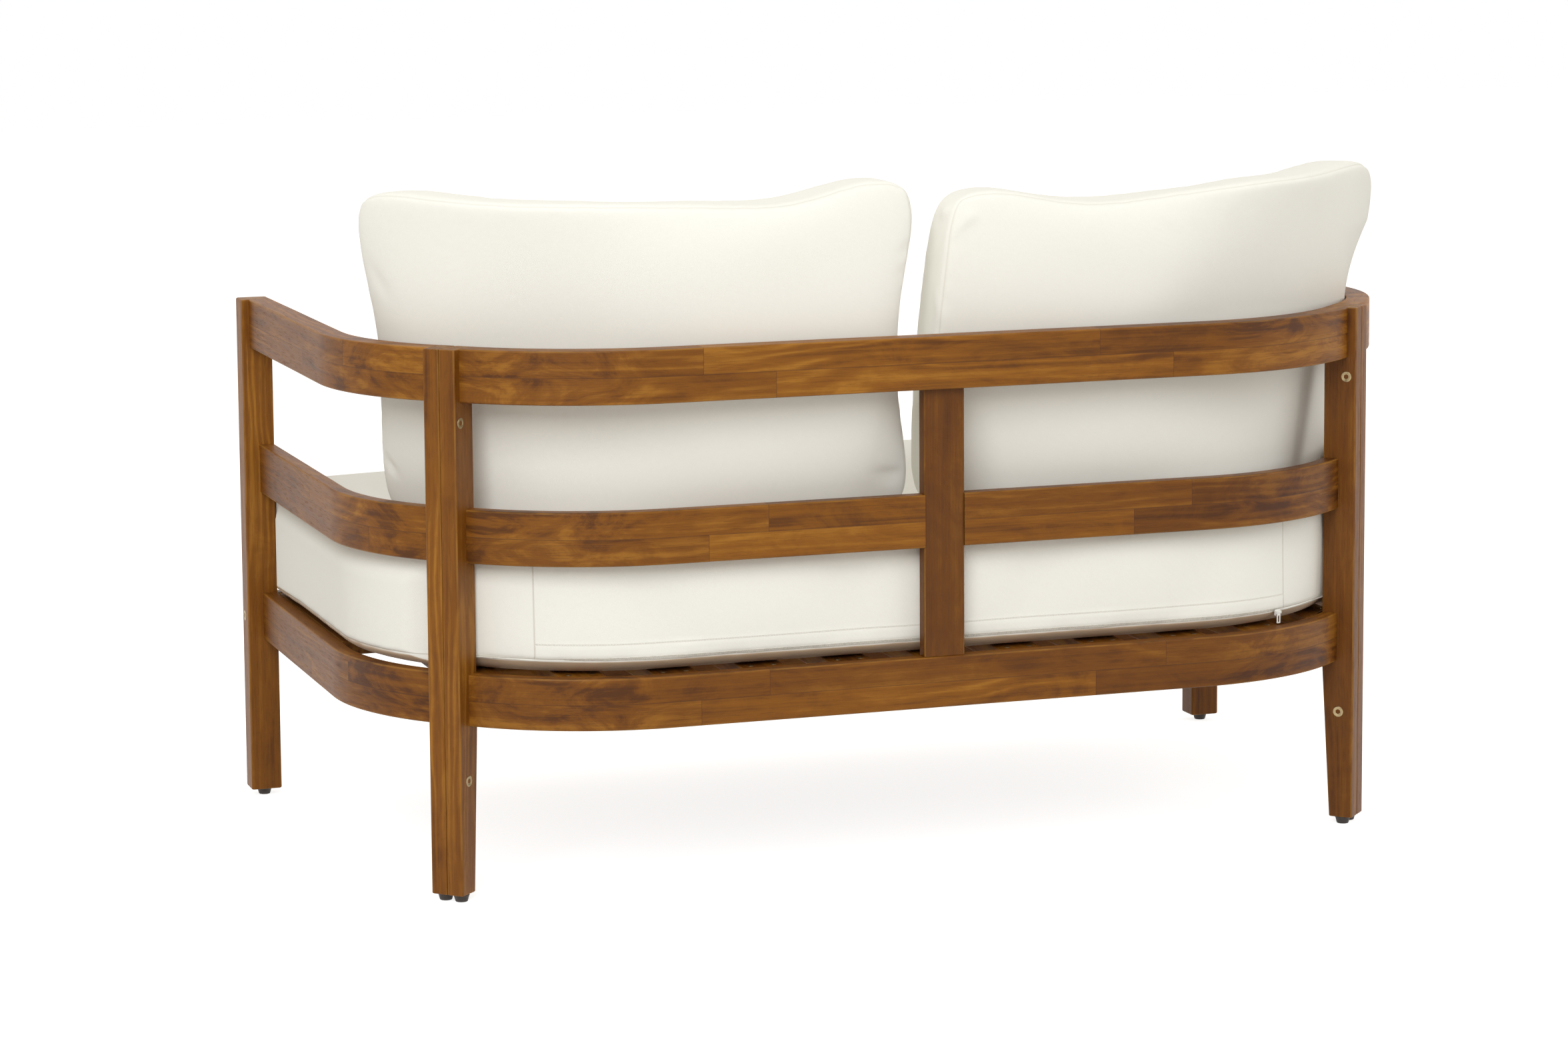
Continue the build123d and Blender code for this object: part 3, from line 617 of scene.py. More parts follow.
def rear_corner():
    """The left rear corner: the bends' centres, the ends of the corner's seam, and the ways out and along it."""
    sizes = wood()
    sine = math.sin(eighth)
    back_y = top_high.y - sizes.top_rail_thickness
    diagonal = Vector((sine, sine, 0))
    along_arm = Vector((sine, -sine, 0))
    inner = Vector((
        inner_x - sizes.arm_bend_radius * (1 - sine) - sizes.corner_post_thickness * sine,
        back_y - sizes.back_bend_radius * (1 - sine) - sizes.corner_post_thickness * sine,
        0,
    ))
    arm = inner + along_arm * sizes.corner_post_thickness - diagonal * sizes.arm_bend_radius
    back = inner - along_arm * sizes.corner_post_thickness - diagonal * sizes.back_bend_radius
    outer = inner + diagonal * sizes.corner_post_depth
    outward = (outer - inner).normalized()
    return Corner(arm, back, inner, outer, outward, Vector((-outward.y, outward.x, 0)))


def around(centre, radius, angle):
    """A point on a circle in plan, and the direction from its centre."""
    away = Vector((math.cos(angle), math.sin(angle), 0))
    return centre + away * radius, away


def arm_stations(joints):
    """Stations of an arm rail from the front post to the rear corner."""
    centre = rear_corner().arm
    radius = wood().arm_bend_radius
    run = centre.y - post_high.y

    def place_at(distance):
        if distance <= run:
            return Vector((inner_x, post_high.y + distance, 0)), leftward, upward, distance, 0.0
        angle = (distance - run) / radius
        origin, away = around(centre, radius, angle)
        return origin, away, upward, distance, min(angle / 0.25, 1.0)

    spots = {round(run * i / 14, 6) for i in range(15)}
    spots |= {round(run + radius * eighth * i / 20, 6) for i in range(1, 21)}
    return bent_stations(spots, joints, place_at)


def back_stations(joints, start_x=None):
    """Stations of a back rail from the left corner to the right one, or to a place on the left of the middle."""
    centre = rear_corner().back
    radius = wood().back_bend_radius
    bend = radius * eighth
    run = centre.x - (-centre.x if start_x is None else start_x)

    def place_at(distance):
        if distance < bend:
            origin, away = around(centre, radius, eighth + distance / radius)
            return origin, away, upward, distance, min((bend - distance) / 0.06, 1.0)
        if distance <= bend + run + 1e-6:
            origin = Vector((centre.x - (distance - bend), centre.y + radius, 0))
            return origin, backward, upward, distance, 0.0
        past = distance - bend - run
        origin, away = around(Vector((-centre.x, centre.y, 0)), radius, quarter + past / radius)
        return origin, away, upward, distance, min(past / 0.06, 1.0)

    spots = {round(bend * i / 20, 6) for i in range(21)}
    spots |= {round(bend + run * i / 24, 6) for i in range(1, 25)}
    if start_x is None:
        spots |= {round(bend + run + bend * i / 20, 6) for i in range(1, 21)}
    return bent_stations(spots, joints, place_at)


def bent_stations(spots, joints, place_at):
    """Stations at spots along a rail, with three close ones at each joint between two lengths."""
    for row in joints or ():
        for joint in row:
            spots = {spot for spot in spots if abs(spot - joint) > 0.002}
            spots |= {joint - 0.0007, joint, joint + 0.0007}
    return [place_at(spot) for spot in sorted(spots)]


def rear_limit(x, gap):
    """How far back the space inside the rails reaches at a place across, kept clear by a gap."""
    arm, back = rear_corner()[:2]
    x = abs(x)
    arm_radius = wood().arm_bend_radius - gap
    back_radius = wood().back_bend_radius - gap
    arm_end = around(arm, arm_radius, eighth)[0]
    back_end = around(back, back_radius, eighth)[0]
    if x <= back.x:
        return back.y + back_radius
    if x <= back_end.x:
        return back.y + math.sqrt(back_radius**2 - (x - back.x) ** 2)
    if x <= arm_end.x:
        return back_end.y + (arm_end.y - back_end.y) * (x - back_end.x) / (arm_end.x - back_end.x)
    return arm.y + math.sqrt(max(arm_radius**2 - (x - arm.x) ** 2, 0))


def inside_gap(x, y):
    """Distance of a point from the inner line of the rails, positive inside."""
    arm, back, inner = rear_corner()[:3]
    sizes = wood()
    spot = Vector((abs(x), y, 0))
    sine = math.sin(eighth)
    turn_arm = math.atan2(spot.y - arm.y, spot.x - arm.x)
    turn_back = math.atan2(spot.y - back.y, spot.x - back.x)
    gaps = [inner_x - spot.x, back.y + sizes.back_bend_radius - spot.y]
    gaps.append((inner - spot).dot(Vector((sine, sine, 0))))
    if 0 < turn_arm < eighth:
        gaps.append(sizes.arm_bend_radius - (spot - arm).length)
    if eighth < turn_back < quarter:
        gaps.append(sizes.back_bend_radius - (spot - back).length)
    return min(gaps)


class LOVESEAT_OT_posts(bpy.types.Operator):
    """Builds the two front posts and the four posts of the rear corners"""

    bl_idname = "loveseat.posts"
    bl_label = "Posts"

    def execute(self, context):
        sizes, corner = wood(), rear_corner()
        foot, top = post_low.z, post_high.z

        def depth_at(distance):
            share = min(distance / (bottom_low.z - foot), 1.0)
            return sizes.corner_foot_depth + (sizes.corner_post_depth - sizes.corner_foot_depth) * share

        front = (post_low.x, post_high.x, post_low.y, post_high.y)
        base = Vector((corner.outer.x, corner.outer.y, foot))
        thickness = sizes.corner_post_thickness
        parts = (("back_post", 0.0, thickness, 0.13, 1.0), ("arm_rear_post", -thickness, 0.0, 0.0, 1.12))
        # Each right-hand post is painted darker than its left-hand twin, by 0.2 for the front post and 0.22 for the
        # corner posts: painted shade
        for index, side in enumerate(("left", "right")):
            stations = straight(upward * foot, upward * top, leftward, backward)
            bar(
                f"front_post_{side}_oiled", f"front_post_{side}", stations, front,
                seed=0.11 + 0.4 * index, tones=1.05 - 0.2 * index, mirror=index == 1, end_rounding=0.002,
            )
            for part, near, far, seed, tone in parts:
                stations = straight(base, base + upward * (top - foot), corner.outward, corner.along, spacing=0.0198)
                bar(
                    f"{part}_{side}_oiled", f"{part}_{side}", stations,
                    lambda distance, near=near, far=far: (-depth_at(distance), 0.0, near, far),
                    seed=0.23 + 0.31 * index + seed, tones=tone - 0.22 * index, mirror=index == 1, end_rounding=0.0015,
                )
        return {"FINISHED"}


# For the lower and the upper strip of each rail: where its lengths meet, then how light each is, which holds the
# strip's own tone together with painted light and shade
rail_strips = {
    "arm_top": (((0.31,), (0.47,)), ((1.00, 1.05), (0.95, 1.20))),
    "arm_middle": (((0.50,), (0.29,)), ((0.92, 1.10), (1.02, 1.12))),
    "arm_bottom": (((0.28,), (0.45,)), ((0.75, 0.90), (0.85, 0.98))),
    "back_top": (((0.3545, 0.8545), (0.2665, 0.7595)), ((1.05, 1.25, 1.05), (1.00, 1.18, 0.95))),
    "back_middle_left": (((0.2745,), (0.3475,)), ((0.98, 1.25), (1.08, 1.15))),
    "back_middle_right": (((0.3245,), (0.249,)), ((0.76, 1.10), (0.62, 0.90))),
    "back_bottom": (((0.2635, 0.7595), (0.3475, 0.851)), ((0.95, 1.20, 0.78), (0.98, 0.88, 0.78))),
}


def laminated(name, strips, stations_at, box, seed, mirror=False):
    """A laminated rail in the place of the node of that name."""
    joints, tones = rail_strips[strips]
    bar(
        f"{name}_laminated", name, stations_at(joints), box,
        seed=seed, joints=joints, tones=tones, mirror=mirror, end_rounding=0.0008,
    )


def rail_levels():
    """Each level's name with the section of its rails."""
    sizes = wood()
    return (
        ("top", (0.0, sizes.top_rail_thickness, top_low.z, top_high.z)),
        ("middle", (0.0, sizes.low_rail_thickness, middle_low.z, middle_high.z)),
        ("bottom", (0.0, sizes.low_rail_thickness, bottom_low.z, bottom_high.z)),
    )


class LOVESEAT_OT_arm_rails(bpy.types.Operator):
    """Builds the three bent, laminated rails of each arm"""

    bl_idname = "loveseat.arm_rails"
    bl_label = "Arm rails"

    def execute(self, context):
        for index, side in enumerate(("left", "right")):
            for number, (level, box) in enumerate(rail_levels()):
                seed = 0.07 + 0.19 * number + 0.43 * index
                laminated(f"arm_{level}_rail_{side}", f"arm_{level}", arm_stations, box, seed, index == 1)
        return {"FINISHED"}


class LOVESEAT_OT_back_rails(bpy.types.Operator):
    """Builds the long top and bottom back rails, the two middle ones and the upright slat between them"""

    bl_idname = "loveseat.back_rails"
    bl_label = "Back rails"

    def execute(self, context):
        low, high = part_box("back_centre_slat")
        edge = (high.x - low.x) / 2
        top, middle, bottom = (box for _, box in rail_levels())
        laminated("back_top_rail", "back_top", back_stations, top, 0.61)
        laminated("back_bottom_rail", "back_bottom", back_stations, bottom, 0.83)
        for index, side in enumerate(("left", "right")):
            laminated(
                f"back_middle_rail_{side}", f"back_middle_{side}", lambda joints: back_stations(joints, edge),
                middle, 0.35 + 0.21 * index, index == 1,
            )
        stations = straight(upward * bottom_high.z, upward * top_low.z, leftward, backward)
        box = (low.x, high.x, low.y, high.y)
        bar("back_centre_slat_oiled", "back_centre_slat", stations, box, seed=0.53, tones=0.62)
        return {"FINISHED"}


class LOVESEAT_OT_seat_base(bpy.types.Operator):
    """Builds the seat slats, the front rail, the cleats and the battens"""

    bl_idname = "loveseat.seat_base"
    bl_label = "Seat base"

    cleat_thickness = 0.022
    outer_slat_sides = (0.583, 0.6455)
    outer_slat_end = 0.007

    def execute(self, context):
        finish = oiled_acacia("Seat acacia", 0.86)
        for index in range(slat_count()):
            name = f"seat_slat_{index + 1}"
            low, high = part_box(name)

            def cut_to_rails(spot, start=low.y, longest=high.y):
                share = (spot.y - start) / (longest - start)
                return Vector((spot.x, start + share * (rear_limit(spot.x, slat_gap) - start), spot.z))

            slat_bar(f"{name}_oiled", name, low, high, finish, 0.05 + 0.083 * index, cut_to_rails)
        self.crossways("front_rail", 0.71, 0.05, (-inner_x, inner_x))
        for name, seed in (("front_cleat", 0.45), ("front_batten", 0.66), ("rear_batten", 0.87)):
            low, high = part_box(name)
            self.crossways(name, seed, 0.08, (low.x, high.x), slot="seat_acacia", material=finish)
        self.rear_cleat(finish)
        self.outer_slats(finish)
        return {"FINISHED"}

    def crossways(self, name, seed, spacing, reach, **look):
        """A bar from side to side in the place of the node of that name."""
        low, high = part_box(name)
        stations = straight(leftward * reach[0], leftward * reach[1], backward, upward, spacing)
        bar(f"{name}_oiled", name, stations, (low.y, high.y, low.z, high.z), seed=seed, **look)

    def outer_slats(self, finish):
        """The short slat beside each arm, on a cleat along the bottom rail."""
        first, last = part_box("seat_slat_1")
        cleat_low, cleat_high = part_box("front_cleat")
        for name, side, seed in (("left", 1, 0.31), ("right", -1, 0.58)):
            sides = sorted(side * x for x in self.outer_slat_sides)
            low = Vector((sides[0], first.y, first.z))
            high = Vector((sides[1], self.outer_slat_end, last.z))
            slat_bar(f"outer_slat_{name}", None, low, high, finish, seed, lambda spot: spot)
            rail = leftward * (side * inner_x)
            start = rail + backward * (cleat_high.y + 0.001)
            stations = straight(start, rail + backward * (self.outer_slat_end - 0.02), upward, leftward, 0.05)
            across = sorted((-side * self.cleat_thickness, -side * 0.0003))
            bar(
                f"side_cleat_{name}", None, stations, (cleat_low.z, cleat_high.z, *across),
                slot="seat_acacia", material=finish, seed=seed + 0.2,
            )

    def rear_cleat(self, finish):
        """The bent cleat inside the bottom back rail."""
        low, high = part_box("rear_cleat")
        stations = back_stations(None)
        radius = wood().back_bend_radius
        reach = math.acos((high.x - rear_corner().back.x) / radius) - eighth
        skip = radius * max(reach, 0.0)
        kept = [place for place in stations if skip <= place[3] <= stations[-1][3] - skip]
        box = (-self.cleat_thickness, 0.0, low.z, high.z)
        bar("rear_cleat_oiled", "rear_cleat", kept, box, slot="seat_acacia", material=finish, seed=0.94)


def slat_count():
    """How many numbered slats the seat has."""
    return len([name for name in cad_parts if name.startswith("seat_slat_")])


def slat_bar(name, node_name, low, high, finish, seed, cut_to_rails):
    """A seat slat with more points across it, so that its rear end can follow the bend."""
    across_count = 8
    rounding = wood().rounding * 0.8
    columns = [low.x, low.x + rounding * 0.3, low.x + rounding]
    columns += [low.x + rounding + (high.x - low.x - 2 * rounding) * i / across_count for i in range(1, across_count)]
    columns += [high.x - rounding, high.x - rounding * 0.3, high.x]
    drops = [rounding, rounding * 0.3] + [0.0] * (len(columns) - 4) + [rounding * 0.3, rounding]
    loop = [(x, high.z - drop, drop > 0) for x, drop in zip(columns, drops)]
    loop += [(x, low.z + drop, drop > 0) for x, drop in reversed(list(zip(columns, drops)))]
    lead = 0.0012
    distances = [place[3] for place in straight(backward * low.y, backward * high.y, upward, leftward, 0.04)]
    stops = [(0.0, lead), (lead, 0.0)] + [(distance, 0.0) for distance in distances[1:-1]]
    stops += [(distances[-1] - lead, 0.0), (distances[-1], lead)]
    middle_x, middle_z = (low.x + high.x) / 2, (low.z + high.z) / 2
    vertices, grain, edges = [], [], []
    for distance, inset in stops:
        for x, z, edge in loop:
            x = middle_x + (x - middle_x) * (1 - 2 * inset / (high.x - low.x))
            z = middle_z + (z - middle_z) * (1 - 2 * inset / (high.z - low.z))
            vertices.append(cut_to_rails(Vector((x, low.y + distance, z))))
            grain.append((distance + seed * 5.3, x - low.x + seed * 0.4, z - low.z + seed * 0.2))
            edges.append(1.0 if edge or inset else 0.0)
    size = len(loop)
    faces = tube_faces(len(stops), size)
    sides, half = len(faces), size // 2 - 1
    for base in (0, len(vertices) - size):
        for corner in range(half):
            opposite = base + size - 1 - corner
            faces.append((base + corner, base + corner + 1, opposite - 1, opposite))
    piece = new_piece(name, vertices, faces, "frame", "seat_acacia", finish)
    none = [0.0] * len(vertices)
    tone = 0.85 + 0.25 * ((seed * 7.3) % 1)
    ends = [0.0] * sides + [1.0] * (2 * half)
    wooden(piece, grain, (edges, none, none), ([seed] * len(faces), [tone] * len(faces), ends), node_name)


def turned(profile, sides, place):
    """Vertices and faces of a turned form: (radius, height) pairs about a place's Z."""
    vertices = []
    for radius, height in profile:
        for index in range(sides):
            angle = math.tau * index / sides
            vertices.append(place @ Vector((radius * math.cos(angle), radius * math.sin(angle), height)))
    return vertices, tube_faces(len(profile), sides) + end_faces(len(profile), sides)


def socket_head(place, diameter, length, shank):
    """Vertices and faces of a bolt with a hexagonal socket; Z points out of its head."""
    sides = 48
    r = diameter / 2
    rings = [(shank, -length), (shank, -0.0045), (r, -0.0042), (r, -0.0010)]
    rings += [(r * 0.965, -0.0003), (r * 0.90, 0.0), (r * 0.66, 0.0), (r * 0.60, -0.0003)]
    vertices, faces = turned(rings, sides, place)
    faces.pop()
    base = len(vertices) - sides
    for height in (-0.0003, -0.0006, -0.0034):
        for index in range(sides):
            angle = math.tau * index / sides
            turn = (angle + math.pi / 6) % (math.pi / 3) - math.pi / 6
            radius = r * 0.42 / math.cos(turn)
            vertices.append(place @ Vector((radius * math.cos(angle), radius * math.sin(angle), height)))
    faces += tube_faces(4, sides, base)
    faces.append(tuple(range(base + 3 * sides, base + 4 * sides)))
    return vertices, faces


def joined(parts):
    """Several lists of vertices and faces as one."""
    vertices, faces = [], []
    for some_vertices, some_faces in parts:
        offset = len(vertices)
        vertices += some_vertices
        faces += [tuple(index + offset for index in face) for face in some_faces]
    return vertices, faces


def facing(origin, direction):
    """A place whose Z points along a direction."""
    matrix = direction.to_track_quat("Z", "Y").to_matrix().to_4x4()
    matrix.translation = origin
    return matrix


def mirrored(spot):
    """A point or a direction on the other side."""
    return Vector((-spot.x, spot.y, spot.z))


def hard_piece(name, parts, slot, material, node_name=None):
    """A piece of hardware on the frame, from lists of vertices and faces."""
    piece = new_piece(name, *joined(parts), "frame", slot, material)
    smooth(piece, 0.5)
    if node_name:
        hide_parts(node_name)


class LOVESEAT_OT_hardware(bpy.types.Operator):
    """Builds the bolts, the slat screws and the glides"""

    bl_idname = "loveseat.hardware"
    bl_label = "Bolts, screws and glides"

    proud = 0.0004
    shank = 0.003
    corner_bolt_length = 0.036
    corner_bolts = ((0.564, 0.0125), (0.143, 0.019))
    front_bolt_length = 0.072
    front_bolt_spot = (-0.364, 0.2365)
    screw_inset = 0.012
    screw_offset = 0.014

    def execute(self, context):
        head = hardware().bolt_head
        zinc = simple_finish("Yellow zinc", hardware().zinc, 0.30, metallic=1.0, scale=420.0, darkening=0.45)
        heads = [socket_head(place, head, self.corner_bolt_length, self.shank) for place in self.corner_places()]
        hard_piece("corner_bolts_plated", heads, "yellow_zinc", zinc, "corner_bolts")
        bolts = []
        for side in (1, -1):
            place = facing(Vector((side * (post_high.x + self.proud), *self.front_bolt_spot)), Vector((side, 0, 0)))
            bolts.append(socket_head(place, head, self.front_bolt_length, self.shank))
        hard_piece("front_rail_bolts_plated", bolts, "yellow_zinc", zinc, "front_rail_bolts")
        for name in ("corner_bolt_nuts", "front_rail_nuts"):
            refinished(name, zinc)
        self.slat_screws(zinc)
        self.glides()
        return {"FINISHED"}

    def corner_places(self):
        """Places of the four corner bolts: their heads lie in the back posts' sides."""
        corner = rear_corner()
        places = []
        for height, inset in self.corner_bolts:
            spot = corner.outer - corner.outward * inset + corner.along * (wood().corner_post_thickness + self.proud)
            spot.z = height
            places.append(facing(spot, corner.along))
            places.append(facing(mirrored(spot), mirrored(corner.along)))
        return places

    def slat_screws(self, finish):
        """Two countersunk screws at each end of every slat."""
        parts = []
        r = hardware().screw_head / 2
        profile = [(r * 0.3, -0.004), (r * 0.95, -0.0008), (r, -0.0002)]
        profile += [(r * 0.9, 0.0003), (r * 0.5, 0.0005), (r * 0.2, 0.0001)]
        for index in range(slat_count()):
            low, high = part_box(f"seat_slat_{index + 1}")
            middle = (low.x + high.x) / 2
            columns = (middle - self.screw_offset, middle + self.screw_offset)
            rear = min(rear_limit(x, slat_gap) for x in columns)
            for x in columns:
                for y in (low.y + self.screw_inset, rear - self.screw_inset):
                    parts.append(turned(profile, 20, facing(Vector((x, y, high.z)), upward)))
        hard_piece("slat_screws", parts, "yellow_zinc", finish)

    def glides(self):
        """A tapered plastic glide under each post."""
        sizes, corner = wood(), rear_corner()
        spots = [(post_low + post_high) / 2]
        for side in (-1, 1):
            middle = corner.outer - corner.outward * (sizes.corner_foot_depth / 2)
            spots.append(middle + corner.along * (side * sizes.corner_post_thickness / 2))
        profile = [(0.0060, 0.0), (0.0070, 0.0002), (0.0075, 0.0010)]
        profile += [(0.0090, 0.0066), (0.0095, 0.0074), (0.0095, 0.0090)]
        places = [Matrix.Translation((side * spot.x, spot.y, 0)) for spot in spots for side in (1, -1)]
        plastic = simple_finish("Glide plastic", hardware().plastic, 0.5, scale=120.0, darkening=0.3)
        parts = [turned(profile, 40, place) for place in places]
        hard_piece("leg_glides_moulded", parts, "dark_plastic", plastic, "leg_glides")


def refinished(node_name, material):
    """Gives a node of the CAD its material."""
    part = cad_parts[node_name]
    part.data.materials.clear()
    part.data.materials.append(material)


def held(value):
    """A value kept from 0 to 1."""
    return max(0.0, min(1.0, value))


def spaced(length, target=0.0105):
    """Places from 0 to a length, close together near both ends where the seams are."""
    lead = [0.0, 0.0028, 0.0065, 0.0120, 0.0195]
    rest = length - 2 * lead[-1]
    count = max(int(round(rest / target)), 1)
    middle = [lead[-1] + rest * i / count for i in range(count + 1)]
    return lead[:-1] + middle + [length - value for value in reversed(lead[:-1])]


def box_shell(xs, ys, zs, place_at):
    """Vertices, faces and grid keys of the skin of a box grid, each point placed by a function."""
    nx, ny, nz = len(xs) - 1, len(ys) - 1, len(zs) - 1
    index_of, vertices, keys = {}, [], []

    def vertex(i, j, k):
        if (i, j, k) not in index_of:
            index_of[i, j, k] = len(vertices)
            vertices.append(place_at(xs[i] / xs[-1], ys[j] / ys[-1], zs[k] / zs[-1]))
            keys.append((i, j, k))
        return index_of[i, j, k]

    def add(*corners):
        faces.append(tuple(vertex(*corner) for corner in corners))

    faces = []
    for j in range(ny):
        for k in range(nz):
            for i in (0, nx):
                add((i, j, k), (i, j + 1, k), (i, j + 1, k + 1), (i, j, k + 1))
    for i in range(nx):
        for k in range(nz):
            for j in (0, ny):
                add((i, j, k), (i + 1, j, k), (i + 1, j, k + 1), (i, j, k + 1))
        for j in range(ny):
            for k in (0, nz):
                add((i, j, k), (i + 1, j, k), (i + 1, j + 1, k), (i, j + 1, k))
    return vertices, faces, keys


def end_distance(places, index):
    """Distance of a grid line from the nearer end of its row."""
    return min(places[index], places[-1] - places[index])


def seam_distances(keys, xs, ys, zs):
    """Distance of each point of a cover from the seams of its panel."""
    seam = []
    for i, j, k in keys:
        if k in (0, len(zs) - 1):
            seam.append(min(end_distance(xs, i), end_distance(ys, j)))
        else:
            seam.append(end_distance(zs, k))
    return seam


def simulated(piece, pins, pressure):
    """How far each point of a cover moves when it is filled, by cloth simulation under pressure."""
    start = [vertex.co.copy() for vertex in piece.data.vertices]
    group = piece.vertex_groups.new(name="held")
    for index, weight in enumerate(pins):
        if weight > 0:
            group.add([index], weight, "REPLACE")
    modifier = piece.modifiers.new("Filling", "CLOTH")
    cloth = {
        "quality": 5,
        "mass": 0.3,
        "air_damping": 2.0,
        "tension_stiffness": 22.0,
        "compression_stiffness": 22.0,
        "shear_stiffness": 12.0,
        "bending_stiffness": 6.0,
        "shrink_min": -cushions().slack,
        "use_pressure": True,
        "uniform_pressure_force": pressure,
        "vertex_group_mass": "held",
    }
    for name, value in cloth.items():
        setattr(modifier.settings, name, value)
    modifier.settings.effector_weights.gravity = 0.0
    modifier.collision_settings.use_collision = False
    steps_of_time = 20
    modifier.point_cache.frame_start = 1
    modifier.point_cache.frame_end = steps_of_time
    for number in range(1, steps_of_time + 1):
        bpy.context.scene.frame_set(number)
    shaped = piece.evaluated_get(bpy.context.evaluated_depsgraph_get())
    moves = [vertex.co - begin for vertex, begin in zip(shaped.data.vertices, start)]
    piece.modifiers.remove(modifier)
    piece.vertex_groups.clear()
    bpy.context.scene.frame_set(1)
    return moves


def inflate(piece, keys, pins, pressure, cap, drawn):
    """Fills a cover: its seams keep a share of the way they are drawn in, and no panel swells much past a cap."""
    moves = evened(piece, simulated(piece, pins, pressure), 16)
    at = dict(zip(keys, moves))
    last = [max(key[axis] for key in keys) for axis in range(3)]
    for vertex, (i, j, k), move in zip(piece.data.vertices, keys, moves):
        a, b, c = i / last[0], j / last[1], k / last[2]
        pulled = seam_pull(at, last, i, j, a, b, 0) * (1 - c) + seam_pull(at, last, i, j, a, b, last[2]) * c
        swell = move - pulled
        if swell.length > 0:
            swell *= cap * math.tanh(swell.length / cap) / swell.length
        vertex.co += pulled * drawn + swell


def evened(piece, moves, rounds):
    """The moves with the fine buckles evened out between neighbouring points."""
    near = [[] for _ in moves]
    for edge in piece.data.edges:
        a, b = edge.vertices
        near[a].append(b)
        near[b].append(a)
    for _ in range(rounds):
        around_each = [sum((moves[other] for other in others), Vector()) * (0.5 / len(others)) for others in near]
        moves = [move * 0.5 + others for move, others in zip(moves, around_each)]
    return moves


def softened(piece, rounds):
    """Eases the corners between the panels of a plump cover."""
    spots = evened(piece, [vertex.co.copy() for vertex in piece.data.vertices], rounds)
    for vertex, spot in zip(piece.data.vertices, spots):
        vertex.co = spot


def seam_pull(at, last, i, j, a, b, k):
    """How far the seams round one panel pull a point of it, from the moves of the points on those seams."""
    low, high = at[i, 0, k], at[i, last[1], k]
    left, right = at[0, j, k], at[last[0], j, k]
    corners = (
        at[0, 0, k] * ((1 - a) * (1 - b)) + at[last[0], 0, k] * (a * (1 - b))
        + at[0, last[1], k] * ((1 - a) * b) + at[last[0], last[1], k] * (a * b)
    )
    return low * (1 - b) + high * b + left * (1 - a) + right * a - corners


def refined(piece):
    """One subdivision of the cover, applied to its mesh."""
    modifier = piece.modifiers.new("Finer", "SUBSURF")
    modifier.levels = 1
    modifier.render_levels = 1
    shaped = bpy.data.meshes.new_from_object(piece.evaluated_get(bpy.context.evaluated_depsgraph_get()))
    piece.modifiers.remove(modifier)
    old = piece.data
    piece.data = shaped
    bpy.data.meshes.remove(old)
    shaped.name = piece.name


def sewn(piece, ripple=0.0007):
    """Draws in the seams and puckers the fabric beside them."""
    sizes = cushions()
    layer = piece.data.attributes["seam"].data
    normals = [vertex.normal.copy() for vertex in piece.data.vertices]
    for vertex, normal, value in zip(piece.data.vertices, normals, layer):
        distance = max(value.value, 0.0)
        groove = sizes.seam_depth * math.exp(-((distance / sizes.seam_width) ** 2))
        pucker = ripple * noise.noise(vertex.co * 62.0) * math.exp(-distance / 0.016)
        broad = 0.0009 * noise.noise(vertex.co * 9.0) * (1 - math.exp(-distance / 0.04))
        vertex.co += normal * (pucker + broad - groove)


def pressed(piece, strokes):
    """Presses soft creases into a cover: (start, end, depth, width), moved to the nearest points of its surface."""
    normals = [vertex.normal.copy() for vertex in piece.data.vertices]
    spots = [vertex.co.copy() for vertex in piece.data.vertices]

    def nearest(place):
        return min(spots, key=lambda spot: (spot - Vector(place)).length_squared)

    strokes = [(nearest(start), nearest(end), depth, width) for start, end, depth, width in strokes]
    for vertex, normal in zip(piece.data.vertices, normals):
        for start, end, depth, width in strokes:
            run = end - start
            share = held((vertex.co - start).dot(run) / run.length_squared)
            away = (vertex.co - start - run * share).length
            if away < width * 3:
                fade = math.sin(math.pi * (0.12 + 0.76 * share))
                vertex.co -= normal * (depth * fade * math.exp(-((away / width) ** 2)))


def well_outline(gap, arm_gap, front):
    """Outline of the left half of the space inside the rails, from the front's middle to the back's."""
    arm, back = rear_corner()[:2]
    sizes = wood()
    radius = 0.028
    side = inner_x - arm_gap
    centre = Vector((inner_x - arm_gap - radius, front + radius, 0))
    points = [Vector((centre.x * i / 30, front, 0)) for i in range(30)]
    points += [around(centre, radius, -quarter + quarter * i / 12)[0] for i in range(13)]
    points += [Vector((side, front + radius + (arm.y - front - radius) * i / 24, 0)) for i in range(1, 24)]
    points += [around(arm, sizes.arm_bend_radius - arm_gap, eighth * i / 16)[0] for i in range(16)]
    points += [around(back, sizes.back_bend_radius - gap, eighth + eighth * i / 16)[0] for i in range(17)]
    points += [Vector((back.x * (1 - i / 16), back.y + sizes.back_bend_radius - gap, 0)) for i in range(1, 17)]
    return points


def evenly(points, places):
    """Points at given shares of the length of a line."""
    runs = [0.0]
    for a, b in zip(points, points[1:]):
        runs.append(runs[-1] + (b - a).length)
    found = []
    for place in places:
        target = place * runs[-1]
        index = 0
        while index < len(runs) - 2 and runs[index + 1] < target:
            index += 1
        step = runs[index + 1] - runs[index]
        share = (target - runs[index]) / step if step else 0.0
        found.append(points[index].lerp(points[index + 1], min(max(share, 0.0), 1.0)))
    return found


